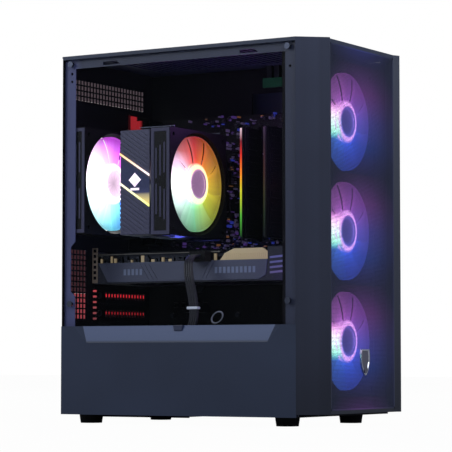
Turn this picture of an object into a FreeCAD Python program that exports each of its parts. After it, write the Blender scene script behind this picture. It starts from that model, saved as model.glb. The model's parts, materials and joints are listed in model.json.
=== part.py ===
import FreeCAD, Part
import Sketcher
import math
import os
import re

# Desktop computer tower, millimetres. Origin: centre of the bounding box, at the floor.
# +Z is up, the front faces -Y and the window side faces -X.

os.makedirs("parts", exist_ok=True)
doc = FreeCAD.newDocument("ComputerTower")
Vector = FreeCAD.Vector
Rotation = FreeCAD.Rotation

# Driving sizes
sizes = {
    # case
    "case_width": 212, "case_depth": 336, "case_height": 412,
    "foot_height": 10, "foot_radius": 13.5, "foot_inset": 34, "foot_rear": 18, "foot_front": 58,
    "sheet": 1.0, "pan_sheet": 1.2, "screw_head": 6, "frame_inset": 5, "top_sheet": 2,
    "lip_height": 4, "slack": 0.3, "part_gap": 0.6,
    # front panel
    "panel_depth": 28.7, "ridge_inset": 23.8, "bezel_wall": 4, "mesh_recess": 4,
    "mesh_half": 74, "bezel_raise": 3, "bezel_cap": 4, "mesh_sheet": 1, "mesh_slot": 4,
    "mesh_margin": 4,
    # window side
    "rail_width": 15, "top_rail": 10, "window_bottom": 108, "bevel_height": 18.5,
    "bevel_inset": 34.5, "bevel_flare": 17.5, "bevel_end": 9.7, "glass_thickness": 4,
    "glass_gap": 0.4, "glass_screw_radius": 1.5, "glass_screw_head": 3.4, "glass_screw_inset": 10.4,
    "glass_screw_rise": 25, "glass_screw_drop": 5, "hook_slot": 23,
    # inner structure
    "shroud_level": 106, "tray_gap": 28, "standoff": 6.4, "fan_plate_back": 48,
    "grommet_length": 43, "grommet_height": 28, "thumb_rise": 40, "thumb_inset": 8,
    "thumb_radius": 5.5, "vent_pitch": 6.2, "vent_hole": 4.6,
    # fans
    "fan_size": 120, "fan_thick": 25, "fan_bore": 57.5, "fan_screws": 105, "fan_screw_hole": 2.2,
    "hub_radius": 19, "blade_reach": 54, "shaft_radius": 1.5, "shaft_fit": 0.05,
    "motor_disc": 4, "front_fan_pitch": 120, "front_fan_drop": 81, "strut_half": 2.5, "strut_thick": 3,
    # board
    "board_size": 244, "board_thick": 1.6, "board_drop": 57, "board_rear_gap": 2,
    "cpu_drop": 87, "cpu_setback": 84, "slot_pitch": 20.32, "slot_drop": 161,
    "io_width": 44.45, "io_length": 158.75, "io_rise": 4, "memory_pitch": 10.3,
    # cooler
    "cooler_clearance": 14, "fin_width": 117, "fin_depth": 39, "fin_pitch": 2.6,
    "fin_sheet": 0.6, "pipe_radius": 3, "cooler_base": 6, "cover_thick": 4,
    # graphics card
    "card_length": 229, "card_reach": 119, "card_fan_radius": 44, "card_fan_hub": 17,
    "card_fan_pitch": 98, "card_cap": 22, "card_depth": 37, "card_wall": 2,
    # power supply
    "supply_width": 150, "supply_height": 86, "supply_length": 140, "supply_sheet": 1,
    # drives
    "drive_length": 147, "drive_width": 101.6, "drive_height": 26.1,
    # top
    "filter_width": 120, "filter_length": 240, "filter_sheet": 1.9, "filter_right": 48,
    "filter_setback": 58, "port_sheet": 1.6,
    # cables
    "power_cord": 5.2, "signal_cord": 1.6,
}
sheet = doc.addObject("Spreadsheet::Sheet", "Sizes")
for row, (alias, number) in enumerate(sizes.items(), start=1):
    sheet.set(f"A{row}", alias)
    sheet.set(f"B{row}", str(number))
    sheet.setAlias(f"B{row}", alias)
doc.recompute()

# places worked out from the sizes, each an expression
places = {
    "left": "(0 - case_width / 2)", "right": "(case_width / 2)", "top": "case_height",
    "front": "(0 - case_depth / 2)", "rear": "(case_depth / 2 - screw_head)",
    "rear_in": "(rear - sheet)", "base": "foot_height", "floor": "(base + pan_sheet)",
    "panel_back": "(front + panel_depth)", "inner_left": "(left + frame_inset + sheet)",
    "inner_right": "(right - sheet)", "ceiling": "(top - top_sheet)",
    "fan_plate": "(front + fan_plate_back)", "lip_under": "(top - lip_height)",
    "bevel_start": "(window_bottom - bevel_height)",
    "tray": "(right - sheet - tray_gap)", "board_back": "(tray - standoff)",
    "board_face": "(board_back - board_thick)", "board_top": "(top - board_drop)",
    "board_low": "(board_top - board_size)", "board_rear": "(rear_in - board_rear_gap)",
    "board_front": "(board_rear - board_size)", "cpu_level": "(board_top - cpu_drop)",
    "cpu_depth": "(board_rear - cpu_setback)", "slot_level": "(board_top - slot_drop)",
    "cooler_face": "(inner_left + cooler_clearance)", "io_right": "(board_face + 3)",
    "io_left": "(io_right - io_width)", "io_top": "(board_top + io_rise)",
    "io_low": "(io_top - io_length)", "fin_rear": "(cpu_depth + 21.5)",
    "fin_front": "(fin_rear - fin_depth)", "cooler_fan_back": "(fin_front - 2)",
    "fan_half": "(fan_size / 2)", "cooler_middle": "(cooler_face + fan_half)",
    "rear_fan_x": "(inner_left + 2 + fan_half)", "rear_fan_level": "(cpu_level + 4)",
    "front_fan_level": "(top - front_fan_drop)", "card_side": "(board_face - card_reach)",
    "card_front": "(board_rear - 3 - card_length)", "supply_front": "(rear_in - supply_length)",
    "supply_low": "floor", "supply_high": "(supply_low + supply_height)",
    "io_board": "(tray - 17)", "port_x": "(io_board + 8)",
}


def expand(text):
    """An expression with each named place and size written out for the sheet."""
    words = re.compile(r"[A-Za-z_]\w*")
    while any(word in places for word in words.findall(text)):
        text = words.sub(lambda m: places.get(m.group(), m.group()), text)
    return words.sub(lambda m: "Sizes." + m.group() if m.group() in sizes else m.group(), text)


def number(text):
    """The number that an expression stands for, for shapes made in code."""
    return float(doc.Sizes.evalExpression(expand(str(text)).replace("Sizes.", "")))


def bind(thing, prop, text):
    thing.setExpression(prop, expand(str(text)))


def place(thing, x, y, z):
    bind(thing, "Placement.Base.x", x)
    bind(thing, "Placement.Base.y", y)
    bind(thing, "Placement.Base.z", z)


def box(name, x, y, z):
    """A block between three pairs of expressions."""
    block = doc.addObject("Part::Box", name)
    for prop, pair in zip(("Length", "Width", "Height"), (x, y, z)):
        bind(block, prop, f"({pair[1]}) - ({pair[0]})")
    place(block, x[0], y[0], z[0])
    return block


turns = {"X": Rotation(Vector(0, 1, 0), 90), "Y": Rotation(Vector(1, 0, 0), -90), "Z": Rotation()}


def rod(name, axis, start, length, radius):
    """A cylinder that starts at a point and runs along +X, +Y or +Z."""
    cylinder = doc.addObject("Part::Cylinder", name)
    cylinder.Placement = FreeCAD.Placement(Vector(), turns[axis])
    bind(cylinder, "Radius", radius)
    bind(cylinder, "Height", length)
    place(cylinder, *start)
    return cylinder


def cone(name, axis, start, length, radius_start, radius_end):
    """A tapered round that starts at a point and runs along +X, +Y or +Z."""
    taper = doc.addObject("Part::Cone", name)
    taper.Placement = FreeCAD.Placement(Vector(), turns[axis])
    bind(taper, "Radius1", radius_start)
    bind(taper, "Radius2", radius_end)
    bind(taper, "Height", length)
    place(taper, *start)
    return taper


def fuse(name, shapes):
    joined = doc.addObject("Part::MultiFuse", name)
    joined.Shapes = shapes
    return joined


def group(name, shapes):
    """Separate solids that share one node."""
    compound = doc.addObject("Part::Compound", name)
    compound.Links = shapes
    return compound


def cut(name, base, tools):
    result = doc.addObject("Part::Cut", name)
    result.Base = base
    result.Tool = tools[0] if len(tools) == 1 else group(name + "_openings", tools)
    return result


def origin_plane(body, role):
    return [item for item in body.Origin.OriginFeatures if item.Role == role][0]


def sketch_on(body, name, role, offset="0"):
    drawing = body.newObject("Sketcher::SketchObject", name)
    drawing.AttachmentSupport = [(origin_plane(body, role), "")]
    drawing.MapMode = "FlatFace"
    bind(drawing, "AttachmentOffset.Base.z", offset)
    return drawing


def outline(drawing, points):
    """A closed outline whose corners are pairs of expressions."""
    first = drawing.GeometryCount
    count = len(points)
    spots = [Vector(number(u), number(v), 0) for u, v in points]
    for i in range(count):
        drawing.addGeometry(Part.LineSegment(spots[i], spots[(i + 1) % count]), False)
    for i in range(count):
        link = Sketcher.Constraint("Coincident", first + i, 2, first + (i + 1) % count, 1)
        drawing.addConstraint(link)
    for i, (u, v) in enumerate(points):
        for kind, text, spot in (("DistanceX", u, spots[i].x), ("DistanceY", v, spots[i].y)):
            index = drawing.addConstraint(Sketcher.Constraint(kind, -1, 1, first + i, 1, spot))
            bind(drawing, f"Constraints[{index}]", text)


def circle(drawing, u, v, radius):
    middle = Vector(number(u), number(v), 0)
    ring = drawing.addGeometry(Part.Circle(middle, Vector(0, 0, 1), number(radius)), False)
    for kind, text, spot in (("DistanceX", u, middle.x), ("DistanceY", v, middle.y)):
        index = drawing.addConstraint(Sketcher.Constraint(kind, -1, 1, ring, 3, spot))
        bind(drawing, f"Constraints[{index}]", text)
    index = drawing.addConstraint(Sketcher.Constraint("Radius", ring, number(radius)))
    bind(drawing, f"Constraints[{index}]", radius)


def pad(body, name, drawing, length):
    feature = body.newObject("PartDesign::Pad", name)
    feature.Profile = drawing
    bind(feature, "Length", length)
    return feature


def pocket(body, name, drawing):
    """A cut both ways from its drawing, right through the body."""
    feature = body.newObject("PartDesign::Pocket", name)
    feature.Profile = drawing
    feature.Type = "ThroughAll"
    feature.Midplane = True
    return feature


def polar(body, name, feature, drawing, count):
    pattern = body.newObject("PartDesign::PolarPattern", name)
    pattern.Originals = [feature]
    pattern.Axis = (drawing, ["N_Axis"])
    pattern.Angle = 360
    pattern.Occurrences = count
    body.Tip = pattern
    return pattern


def solid_from_corners(name, corners, faces):
    """A closed solid from named corners and the corner loops of its faces."""
    points = {key: Vector(*[number(text) for text in spot]) for key, spot in corners.items()}
    sides = []
    for loop in faces:
        edge = [points[key] for key in loop]
        sides.append(Part.Face(Part.makePolygon(edge + edge[:1])))
    feature = doc.addObject("Part::Feature", name)
    solid = Part.Solid(Part.Shell(sides))
    if solid.Volume < 0:
        solid.reverse()
    feature.Shape = solid
    feature.Placement = FreeCAD.Placement()
    return feature


def tube(name, points, radius):
    """A round cord: straight runs joined by tangent arcs as large as the runs allow."""
    spots = [Vector(*[number(text) for text in point]) for point in points]
    edges = []
    start = spots[0]
    for before, corner, after in zip(spots, spots[1:], spots[2:]):
        arrive = (corner - before).normalize()
        leave = (after - corner).normalize()
        turn = arrive.getAngle(leave)
        reach = 0.45 * min((corner - before).Length, (after - corner).Length)
        begin = corner - arrive * reach
        end = corner + leave * reach
        inward = (leave - arrive).normalize()
        bend = reach / math.tan(turn / 2)
        centre = corner + inward * (bend / math.cos(turn / 2))
        edges.append(Part.makeLine(start, begin))
        edges.append(Part.Arc(begin, centre - inward * bend, end).toShape())
        start = end
    edges.append(Part.makeLine(start, spots[-1]))
    path = Part.Wire(edges)
    heading = spots[1] - spots[0]
    ring = Part.Wire([Part.makeCircle(number(radius), spots[0], heading)])
    feature = doc.addObject("Part::Feature", name)
    feature.Shape = path.makePipeShell([ring], True, False)
    feature.Placement = FreeCAD.Placement()
    return feature


nodes = {}


def keep(label, thing):
    thing.Label = label
    nodes[label] = thing
    return thing


filter_x = ("filter_right - filter_width", "filter_right")
filter_y = ("front + filter_setback", "front + filter_setback + filter_length")
filter_run = ("supply_front + 6", "rear - 4")
port_row = [("usb_one", "front + 92", "13.2", "5.8"), ("usb_two", "front + 112", "13.2", "5.8"),
            ("usb_small", "front + 132", "9", "3.4"), ("audio_one", "front + 146", "6.4", "6.4"),
            ("audio_two", "front + 156", "6.4", "6.4")]
button_row = [("power_button", "front + 66", "7"), ("reset_button", "front + 81", "3")]
board_holes = [(y, z) for y in ("board_rear - 34", "board_rear - 123", "board_front + 8")
               for z in ("board_top - 10", "board_top - 148", "board_low + 12")]


# Chassis
def feet():
    """Four round rubber feet, a little narrower at the floor."""
    rounds = []
    for side, x in (("left", "left + foot_inset"), ("right", "right - foot_inset")):
        for end, y in (("rear", "rear - foot_rear"), ("front", "front + foot_front")):
            name = f"foot_{side}_{end}"
            rounds.append(cone(name, "Z", (x, y, "0"), "foot_height", "foot_radius - 1.5", "foot_radius"))
    keep("feet", group("feet", rounds))


def base_pan():
    """The bottom of the chassis, its air intake and the two rails of the bottom filter."""
    plate = box("pan_plate", ("left + sheet", "inner_right - 0.2"), ("panel_back", "rear"),
                ("base", "floor"))
    intake = box("pan_intake", ("0 - 58", "58"), ("supply_front + 12", "supply_front + 128"),
                 ("base - 1", "floor + 1"))
    sheet_cut = cut("pan_cut", plate, [intake])
    rails = []
    for side, span in (("left", ("0 - 54", "0 - 50.4")), ("right", ("50.4", "54"))):
        rails.append(box(f"filter_rail_{side}", span, filter_run, ("base - 3.6", "base")))
    keep("base_pan", fuse("base_pan", [sheet_cut] + rails))


def slot_rows(name, x0, columns, pitch_x, width, z_top, rows, pitch_z, height, y):
    """A block of small openings through the rear wall."""
    openings = []
    for row in range(rows):
        for column in range(columns):
            x = f"{x0} + {column} * ({pitch_x})"
            z = f"{z_top} - {row} * ({pitch_z})"
            openings.append(box(f"{name}_{row}_{column}", (x, f"{x} + {width}"), y,
                                (f"{z} - ({height})", z)))
    return openings


def rear_panel():
    """The rear wall: fan, ports, expansion slots, power supply and vents."""
    wall = box("rear_wall", ("left + sheet", "inner_right - part_gap"), ("rear_in", "rear"),
               ("floor", "ceiling"))
    y = ("rear_in - 1", "rear + 1")
    openings = [
        rod("rear_fan_hole", "Y", ("rear_fan_x", "rear_in - 1", "rear_fan_level"), "sheet + 2",
            "fan_bore - 1"),
        box("port_hole", ("io_left", "io_right"), y, ("io_low", "io_top")),
        box("supply_hole", ("0 - supply_width / 2 + 4", "supply_width / 2 - 4"), y,
            ("supply_low + 4", "supply_high - 4")),
    ]
    for i in range(4):
        level = f"slot_level - {i} * slot_pitch"
        openings.append(box(f"slot_hole_{i}", ("board_face - 93", "board_face - 7"), y,
                            (f"{level} - 15", f"{level} - 2")))
    openings += slot_rows("roof_vent", "left + 24", 23, "vent_pitch", "vent_hole", "ceiling - 21", 4,
                          "vent_pitch", "vent_hole", y)
    openings += slot_rows("side_vent", "left + 17", 5, "vent_pitch", "vent_hole", "slot_level + 1", 13,
                          "vent_pitch - 0.1", "vent_hole - 0.2", y)
    for end, z in (("low", "floor + thumb_rise"), ("high", "ceiling - thumb_rise")):
        openings.append(rod(f"thumb_hole_{end}", "Y", ("inner_right - thumb_inset", "rear_in - 1", z),
                            "sheet + 2", "2.4"))
    keep("rear_panel", cut("rear_panel", wall, openings))


def window_frame():
    """The frame behind the glass, with hook slots, corner holes and a notch by the card."""
    body = doc.addObject("PartDesign::Body", "window_frame")
    face = sketch_on(body, "frame_face", "YZ_Plane", "left + frame_inset")
    outline(face, [("panel_back", "floor"), ("rear_in", "floor"), ("rear_in", "lip_under"),
                   ("panel_back", "lip_under")])
    outline(face, [
        ("panel_back + rail_width", "window_bottom"), ("rear - rail_width", "window_bottom"),
        ("rear - rail_width", "slot_level - 52.5"), ("rear - rail_width + 6", "slot_level - 47"),
        ("rear - rail_width + 6", "slot_level + 3"), ("rear - rail_width", "slot_level + 9"),
        ("rear - rail_width", "lip_under - top_rail"),
        ("panel_back + rail_width", "lip_under - top_rail")])
    outline(face, [("panel_back + rail_width", "floor + 6"), ("rear - rail_width", "floor + 6"),
                   ("rear - rail_width", "bevel_start - 6"),
                   ("panel_back + rail_width", "bevel_start - 6")])
    pad(body, "frame_sheet", face, "sheet")
    holes = sketch_on(body, "frame_holes", "YZ_Plane", "left + frame_inset")
    for y in ("rear - glass_screw_inset", "panel_back + glass_screw_inset"):
        circle(holes, y, "lip_under - glass_screw_drop", "glass_screw_radius + part_gap")
        circle(holes, y, "window_bottom + glass_screw_rise", "glass_screw_radius + part_gap")
    for y, z in (("rear - 10", "lip_under - 15.5"), ("rear - 10", "lip_under - 24.4"),
                 ("panel_back + 9", "lip_under - 26")):
        circle(holes, y, z, "1.6")
    for y in ("rear - 75", "front + 77"):
        outline(holes, [(y, "lip_under - 8.4"), (f"{y} + hook_slot", "lip_under - 8.4"),
                        (f"{y} + hook_slot", "lip_under - 4.5"), (f"{y} + 5", "lip_under - 4.5")])
    pocket(body, "frame_openings", holes)
    keep("window_frame", body)


def lower_side_cover():
    """The fixed cover of the lower chamber; a shallow bevel sinks into its top edge."""
    slab = box("cover_slab", ("left", "left + sheet"), ("panel_back", "rear"), ("base", "window_bottom"))
    depth = "left + frame_inset - sheet"
    corners = {
        "low_rear": ("left", "rear - bevel_inset", "bevel_start"),
        "low_front": ("left", "panel_back + bevel_inset", "bevel_start"),
        "high_rear": ("left", "rear - bevel_inset + bevel_flare", "window_bottom"),
        "high_front": ("left", "panel_back + bevel_inset - bevel_flare", "window_bottom"),
        "deep_rear": (depth, "rear - bevel_inset + bevel_flare - bevel_end", "window_bottom"),
        "deep_front": (depth, "panel_back + bevel_inset - bevel_flare + bevel_end", "window_bottom"),
    }
    faces = [
        ("low_rear", "low_front", "high_front", "high_rear"),
        ("low_rear", "deep_rear", "deep_front", "low_front"),
        ("low_rear", "high_rear", "deep_rear"), ("low_front", "deep_front", "high_front"),
        ("high_rear", "high_front", "deep_front", "deep_rear"),
    ]
    scoop = solid_from_corners("cover_scoop", corners, faces)
    inner = doc.addObject("Part::Feature", "cover_scoop_back")
    inner.Shape = scoop.Shape
    inner.Placement = FreeCAD.Placement(Vector(number("sheet"), 0, 0), Rotation())
    keep("lower_side_cover", cut("lower_side_cover", fuse("cover_skin", [slab, inner]), [scoop]))


def front_fan_plate():
    """The set back front wall that carries the three intake fans."""
    plate = box("fan_wall", ("inner_left", "inner_right - part_gap"), ("fan_plate - sheet", "fan_plate"),
                ("floor", "ceiling - sheet"))
    left_flange = box("fan_wall_left", ("inner_left", "inner_left + sheet"), ("panel_back", "fan_plate"),
                      ("floor", "ceiling - sheet"))
    right_flange = box("fan_wall_right", ("inner_right - part_gap - sheet", "inner_right - part_gap"),
                       ("panel_back", "fan_plate"), ("floor", "ceiling - sheet"))
    openings = []
    for i in range(3):
        level = f"front_fan_level - {i} * front_fan_pitch"
        openings.append(rod(f"fan_wall_hole_{i}", "Y", ("0", "fan_plate - 2 * sheet", level),
                            "3 * sheet", "fan_bore - 1"))
    keep("front_fan_plate", cut("front_fan_plate",
         fuse("fan_wall_sheet", [plate, left_flange, right_flange]), openings))


def motherboard_tray():
    """The sheet behind the board, with cable openings and nine pressed-in standoffs."""
    plate = box("tray_sheet", ("tray", "tray + sheet"), ("fan_plate", "rear_in"),
                ("shroud_level + sheet", "ceiling - sheet"))
    openings = []
    for name, y, z in (("high", "board_front + 63", "board_top - 3"),
                       ("low", "board_front - 26", "cpu_level - 60"),
                       ("middle", "board_front - 26", "cpu_level + 10")):
        length, height = (("grommet_length", "grommet_height") if name == "high" else ("18", "46"))
        blank = box(f"grommet_{name}", ("tray - 1", "tray + sheet + 1"), (y, f"{y} + {length}"),
                    (z, f"{z} + {height}"))
        openings.append(blank)
    posts = [rod(f"board_post_{i}", "X", ("board_back", y, z), "standoff", "2.8")
             for i, (y, z) in enumerate(board_holes)]
    keep("motherboard_tray", fuse("motherboard_tray", [cut("tray_cut", plate, openings)] + posts))


def psu_shroud():
    """The level divider over the power supply, open where cables rise through it."""
    plate = box("shroud_sheet", ("inner_left", "inner_right - part_gap"), ("fan_plate", "rear_in"),
                ("shroud_level", "shroud_level + sheet"))
    openings = [box("cable_gate", ("inner_left + 3", "inner_left + 34"), ("0 - 14", "34"),
                    ("shroud_level - 1", "shroud_level + sheet + 1")),
                box("board_gate", ("board_face - 26", "board_face - 4"),
                    ("board_front - 28", "board_front - 4"),
                    ("shroud_level - 1", "shroud_level + sheet + 1"))]
    for i in range(8):
        x = f"inner_left + 48 + {i} * 9"
        openings.append(box(f"shroud_vent_{i}", (x, f"{x} + 4"), ("supply_front + 20", "rear_in - 20"),
                            ("shroud_level - 1", "shroud_level + sheet + 1")))
    keep("psu_shroud", cut("psu_shroud", plate, openings))


def top_panel():
    """The top, with the filter opening, the port openings and a lip over the glass."""
    plate = box("top_sheet_plate", ("left", "right"), ("panel_back", "rear"), ("ceiling", "top"))
    lip = box("top_lip", ("left", "left + frame_inset"), ("panel_back", "rear_in"),
              ("lip_under", "ceiling"))
    z = ("ceiling - 1", "top + 1")
    openings = [box("filter_opening", (f"{filter_x[0]} - slack", f"{filter_x[1]} + slack"),
                    (f"{filter_y[0]} - slack", f"{filter_y[1]} + slack"), z)]
    for name, y, length, width in port_row:
        openings.append(box(f"{name}_opening",
                            (f"port_x - {width} / 2 - slack", f"port_x + {width} / 2 + slack"),
                            (f"{y} - slack", f"{y} + {length} + slack"), z))
    for name, y, radius in button_row:
        openings.append(rod(f"{name}_opening", "Z", ("port_x", y, "ceiling - 1"), "top_sheet + 2",
                            f"{radius} + slack"))
    keep("top_panel", fuse("top_panel", [cut("top_cut", fuse("top_skin", [plate, lip]), openings),
                                         top_grille()]))


def top_grille():
    """The slotted sheet under the top filter."""
    plate = box("grille_sheet", (f"{filter_x[0]} - 6", f"{filter_x[1]} + 6"),
                (f"{filter_y[0]} - 6", f"{filter_y[1]} + 6"), ("ceiling - sheet", "ceiling"))
    slots = []
    for i in range(27):
        y = f"{filter_y[0]} + 4 + {i} * 8.7"
        slots.append(box(f"grille_slot_{i}", (f"{filter_x[0]} + 5", f"{filter_x[1]} - 5"), (y, f"{y} + 5"),
                         ("ceiling - 2 * sheet", "ceiling + 1")))
    return cut("top_grille", plate, slots)


def top_filter():
    """A framed dust filter that lifts out of the top."""
    frame = box("filter_frame", filter_x, filter_y, ("top - filter_sheet", "top"))
    cells = []
    for i in range(2):
        for j in range(4):
            x = f"{filter_x[0]} + 4 + {i} * 57"
            y = f"{filter_y[0]} + 4 + {j} * 58.5"
            cells.append(box(f"filter_cell_{i}_{j}", (x, f"{x} + 55"), (y, f"{y} + 56.5"),
                             ("top - 0.6", "top + 1")))
    keep("top_filter", cut("top_filter", frame, cells))


def right_side_panel():
    """The plain right side; its rear flange carries two thumbscrews."""
    skin = box("right_skin", ("inner_right", "right"), ("panel_back", "rear + sheet"),
               ("base", "ceiling - 0.2"))
    flange = box("right_flange", ("inner_right - 14", "inner_right"), ("rear", "rear + sheet"),
                 ("floor + 12", "ceiling - 12"))
    holes = [rod(f"flange_hole_{end}", "Y", ("inner_right - thumb_inset", "rear - 1", z), "sheet + 2", "2")
             for end, z in (("low", "floor + thumb_rise"), ("high", "ceiling - thumb_rise"))]
    keep("right_side_panel", cut("right_side_panel", fuse("right_sheet", [skin, flange]), holes))
    screws = []
    for end, z in (("low", "floor + thumb_rise"), ("high", "ceiling - thumb_rise")):
        head = rod(f"thumb_head_{end}", "Y", ("inner_right - thumb_inset", "rear + sheet", z),
                   "screw_head - sheet", "thumb_radius")
        shank = rod(f"thumb_shank_{end}", "Y", ("inner_right - thumb_inset", "rear - 7", z), "7 + sheet",
                    "2")
        screws.append(fuse(f"thumbscrew_{end}", [head, shank]))
    keep("panel_thumbscrews", group("panel_thumbscrews", screws))


def side_glass():
    """The clear side panel with a captive screw at each corner."""
    x = ("left", "left + glass_thickness")
    pane = box("glass_pane", x, ("panel_back + 0.5", "rear_in - 0.5"),
               ("window_bottom + glass_gap", "lip_under - glass_gap"))
    holes = []
    screws = []
    for end, y in (("rear", "rear - glass_screw_inset"), ("front", "panel_back + glass_screw_inset")):
        for level, z in (("low", "window_bottom + glass_screw_rise"),
                         ("high", "lip_under - glass_screw_drop")):
            spot = ("left - 1", y, z)
            holes.append(rod(f"glass_hole_{end}_{level}", "X", spot, "glass_thickness + 2",
                             "glass_screw_radius"))
            holes.append(rod(f"glass_sink_{end}_{level}", "X", spot, "3", "glass_screw_head"))
            shank = rod(f"glass_shank_{end}_{level}", "X", ("left + 1", y, z), "4.6", "glass_screw_radius")
            head = rod(f"glass_head_{end}_{level}", "X", ("left + 0.4", y, z), "1.6", "glass_screw_head")
            screws.append(fuse(f"glass_screw_{end}_{level}", [head, shank]))
    keep("side_glass", cut("side_glass", pane, holes))
    keep("glass_screws", group("glass_screws", screws))


# Front panel
def front_bezel():
    """The faceted front: two slanted cheeks, a ridge each side and a sunk grille opening."""
    body = doc.addObject("PartDesign::Body", "front_bezel")
    face = "front + mesh_recess"
    shape = [("left", "panel_back"), ("left + ridge_inset", "front"), ("0 - mesh_half", face),
             ("mesh_half", face), ("right - ridge_inset", "front"), ("right", "panel_back")]
    plan = sketch_on(body, "bezel_plan", "XY_Plane", "base + bezel_raise")
    outline(plan, shape)
    pad(body, "bezel_block", plan, "top - base - bezel_raise")
    hollow = sketch_on(body, "bezel_hollow", "XY_Plane", "top - bezel_cap")
    outline(hollow, [(x, f"{y} + bezel_wall") for x, y in shape])
    sink = body.newObject("PartDesign::Pocket", "bezel_cavity")
    sink.Profile = hollow
    bind(sink, "Length", "top - base - bezel_raise - 2 * bezel_cap")
    window = sketch_on(body, "bezel_window", "XZ_Plane", "0 - (front + bezel_wall + mesh_recess + 1)")
    outline(window, [("0 - mesh_half", "base + bezel_raise + bezel_cap"),
                     ("mesh_half", "base + bezel_raise + bezel_cap"),
                     ("mesh_half", "top - bezel_cap"), ("0 - mesh_half", "top - bezel_cap")])
    pocket(body, "bezel_opening", window)
    keep("front_bezel", body)


def front_mesh():
    """The perforated sheet in the front opening."""
    y = ("front + mesh_recess", "front + mesh_recess + mesh_sheet")
    low = "base + bezel_raise + bezel_cap"
    high = "top - bezel_cap"
    sheet_part = box("mesh_blank", ("0 - mesh_half", "mesh_half"), y, (low, high))
    openings = []
    for i in range(58):
        z = f"{low} + 6 + {i} * (({high}) - ({low}) - 8) / 58"
        openings.append(box(f"mesh_row_{i}", ("mesh_margin - mesh_half", "mesh_half - mesh_margin"),
                            ("front + mesh_recess - 1", "front + mesh_recess + mesh_sheet + 1"),
                            (z, f"{z} + mesh_slot")))
    rib = box("mesh_rib", ("0 - 2", "2"), y, (low, high))
    patch = box("mesh_patch", ("0 - 12", "14"), y, ("base + 41", "base + 75"))
    slotted = cut("mesh_slotted", sheet_part, openings)
    keep("front_mesh", fuse("front_mesh", [slotted, rib, patch]))


def front_badge():
    """A plain shield, low on the front grille, with a flat inlay."""
    y0 = "front + mesh_recess - 2"
    body = doc.addObject("PartDesign::Body", "front_badge")
    drawing = sketch_on(body, "badge_outline", "XZ_Plane", f"0 - ({y0} + 2)")
    outline(drawing, [("0 - 10", "base + 72"), ("0 - 10", "base + 52"), ("1", "base + 44"),
                      ("12", "base + 52"), ("12", "base + 72")])
    pad(body, "badge_plate", drawing, "2")
    keep("front_badge", body)


# Fans
def fan_frame(label, position, turn):
    """A square fan frame with corner holes, four struts and a motor disc with its bore."""
    body = doc.addObject("PartDesign::Body", label)
    square = sketch_on(body, f"{label}_square", "XY_Plane")
    outline(square, [("0 - fan_half", "0 - fan_half"), ("fan_half", "0 - fan_half"),
                     ("fan_half", "fan_half"), ("0 - fan_half", "fan_half")])
    circle(square, "0", "0", "fan_bore")
    pad(body, f"{label}_shell", square, "fan_thick")
    disc = sketch_on(body, f"{label}_disc_plan", "XY_Plane")
    circle(disc, "0", "0", "hub_radius")
    circle(disc, "0", "0", "shaft_radius + shaft_fit")
    arm = sketch_on(body, f"{label}_arm_plan", "XY_Plane")
    outline(arm, [("hub_radius - 2", "0 - strut_half"), ("fan_bore + 1", "0 - strut_half"),
                  ("fan_bore + 1", "strut_half"), ("hub_radius - 2", "strut_half")])
    first = pad(body, f"{label}_arm", arm, "strut_thick")
    polar(body, f"{label}_arms", first, arm, 4)
    pad(body, f"{label}_disc", disc, "motor_disc")
    corner = sketch_on(body, f"{label}_corner_plan", "XY_Plane")
    for x, y in (("1", "1"), ("1", "0 - 1"), ("0 - 1", "1"), ("0 - 1", "0 - 1")):
        circle(corner, f"({x}) * fan_screws / 2", f"({y}) * fan_screws / 2", "fan_screw_hole")
    body.Tip = pocket(body, f"{label}_corner_holes", corner)
    body.Placement = FreeCAD.Placement(Vector(), turn)
    place(body, *position)
    return body


def fan_rotor(label, position, turn, reach, hub, low, high, blades=9):
    """A hub with its shaft and slanted blades, all on one axis."""
    body = doc.addObject("PartDesign::Body", label)
    middle = sketch_on(body, f"{label}_hub_plan", "XY_Plane", low)
    circle(middle, "0", "0", hub)
    pad(body, f"{label}_hub", middle, f"({high}) - ({low})")
    axle = sketch_on(body, f"{label}_shaft_plan", "XY_Plane", "1")
    circle(axle, "0", "0", "shaft_radius")
    pad(body, f"{label}_shaft", axle, f"({low}) - 1 + 0.5")
    section = sketch_on(body, f"{label}_blade_plan", "YZ_Plane", f"({hub}) - 2")
    outline(section, [("0 - 11", f"({low}) + 1"), ("0 - 8", f"({low}) + 1"), ("11", f"({high}) - 2"),
                      ("8", f"({high}) - 2")])
    first = pad(body, f"{label}_blade", section, f"({reach}) - ({hub}) + 2")
    polar(body, f"{label}_blades", first, middle, blades)
    body.Placement = FreeCAD.Placement(Vector(), turn)
    place(body, *position)
    return keep(label, body)


facing_front = Rotation(Vector(1, 0, 0), 90)
facing_down = Rotation(Vector(1, 0, 0), 180)


def case_fans():
    """Three intake fans on the front wall and one exhaust fan on the rear wall."""
    frames = []
    for i in range(3):
        spot = ("0", "fan_plate - sheet", f"front_fan_level - {i} * front_fan_pitch")
        frames.append(fan_frame(f"front_fan_frame_{i + 1}", spot, facing_front))
        fan_rotor(f"front_fan_rotor_{i + 1}", spot, facing_front, "blade_reach", "hub_radius",
                  "motor_disc + 1", "fan_thick - 1")
    spot = ("rear_fan_x", "rear_in", "rear_fan_level")
    frames.append(fan_frame("rear_fan_frame", spot, facing_front))
    keep("case_fan_frames", group("case_fan_frames", frames))
    fan_rotor("rear_fan_rotor", spot, facing_front, "blade_reach", "hub_radius", "motor_disc + 1",
              "fan_thick - 1")


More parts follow.
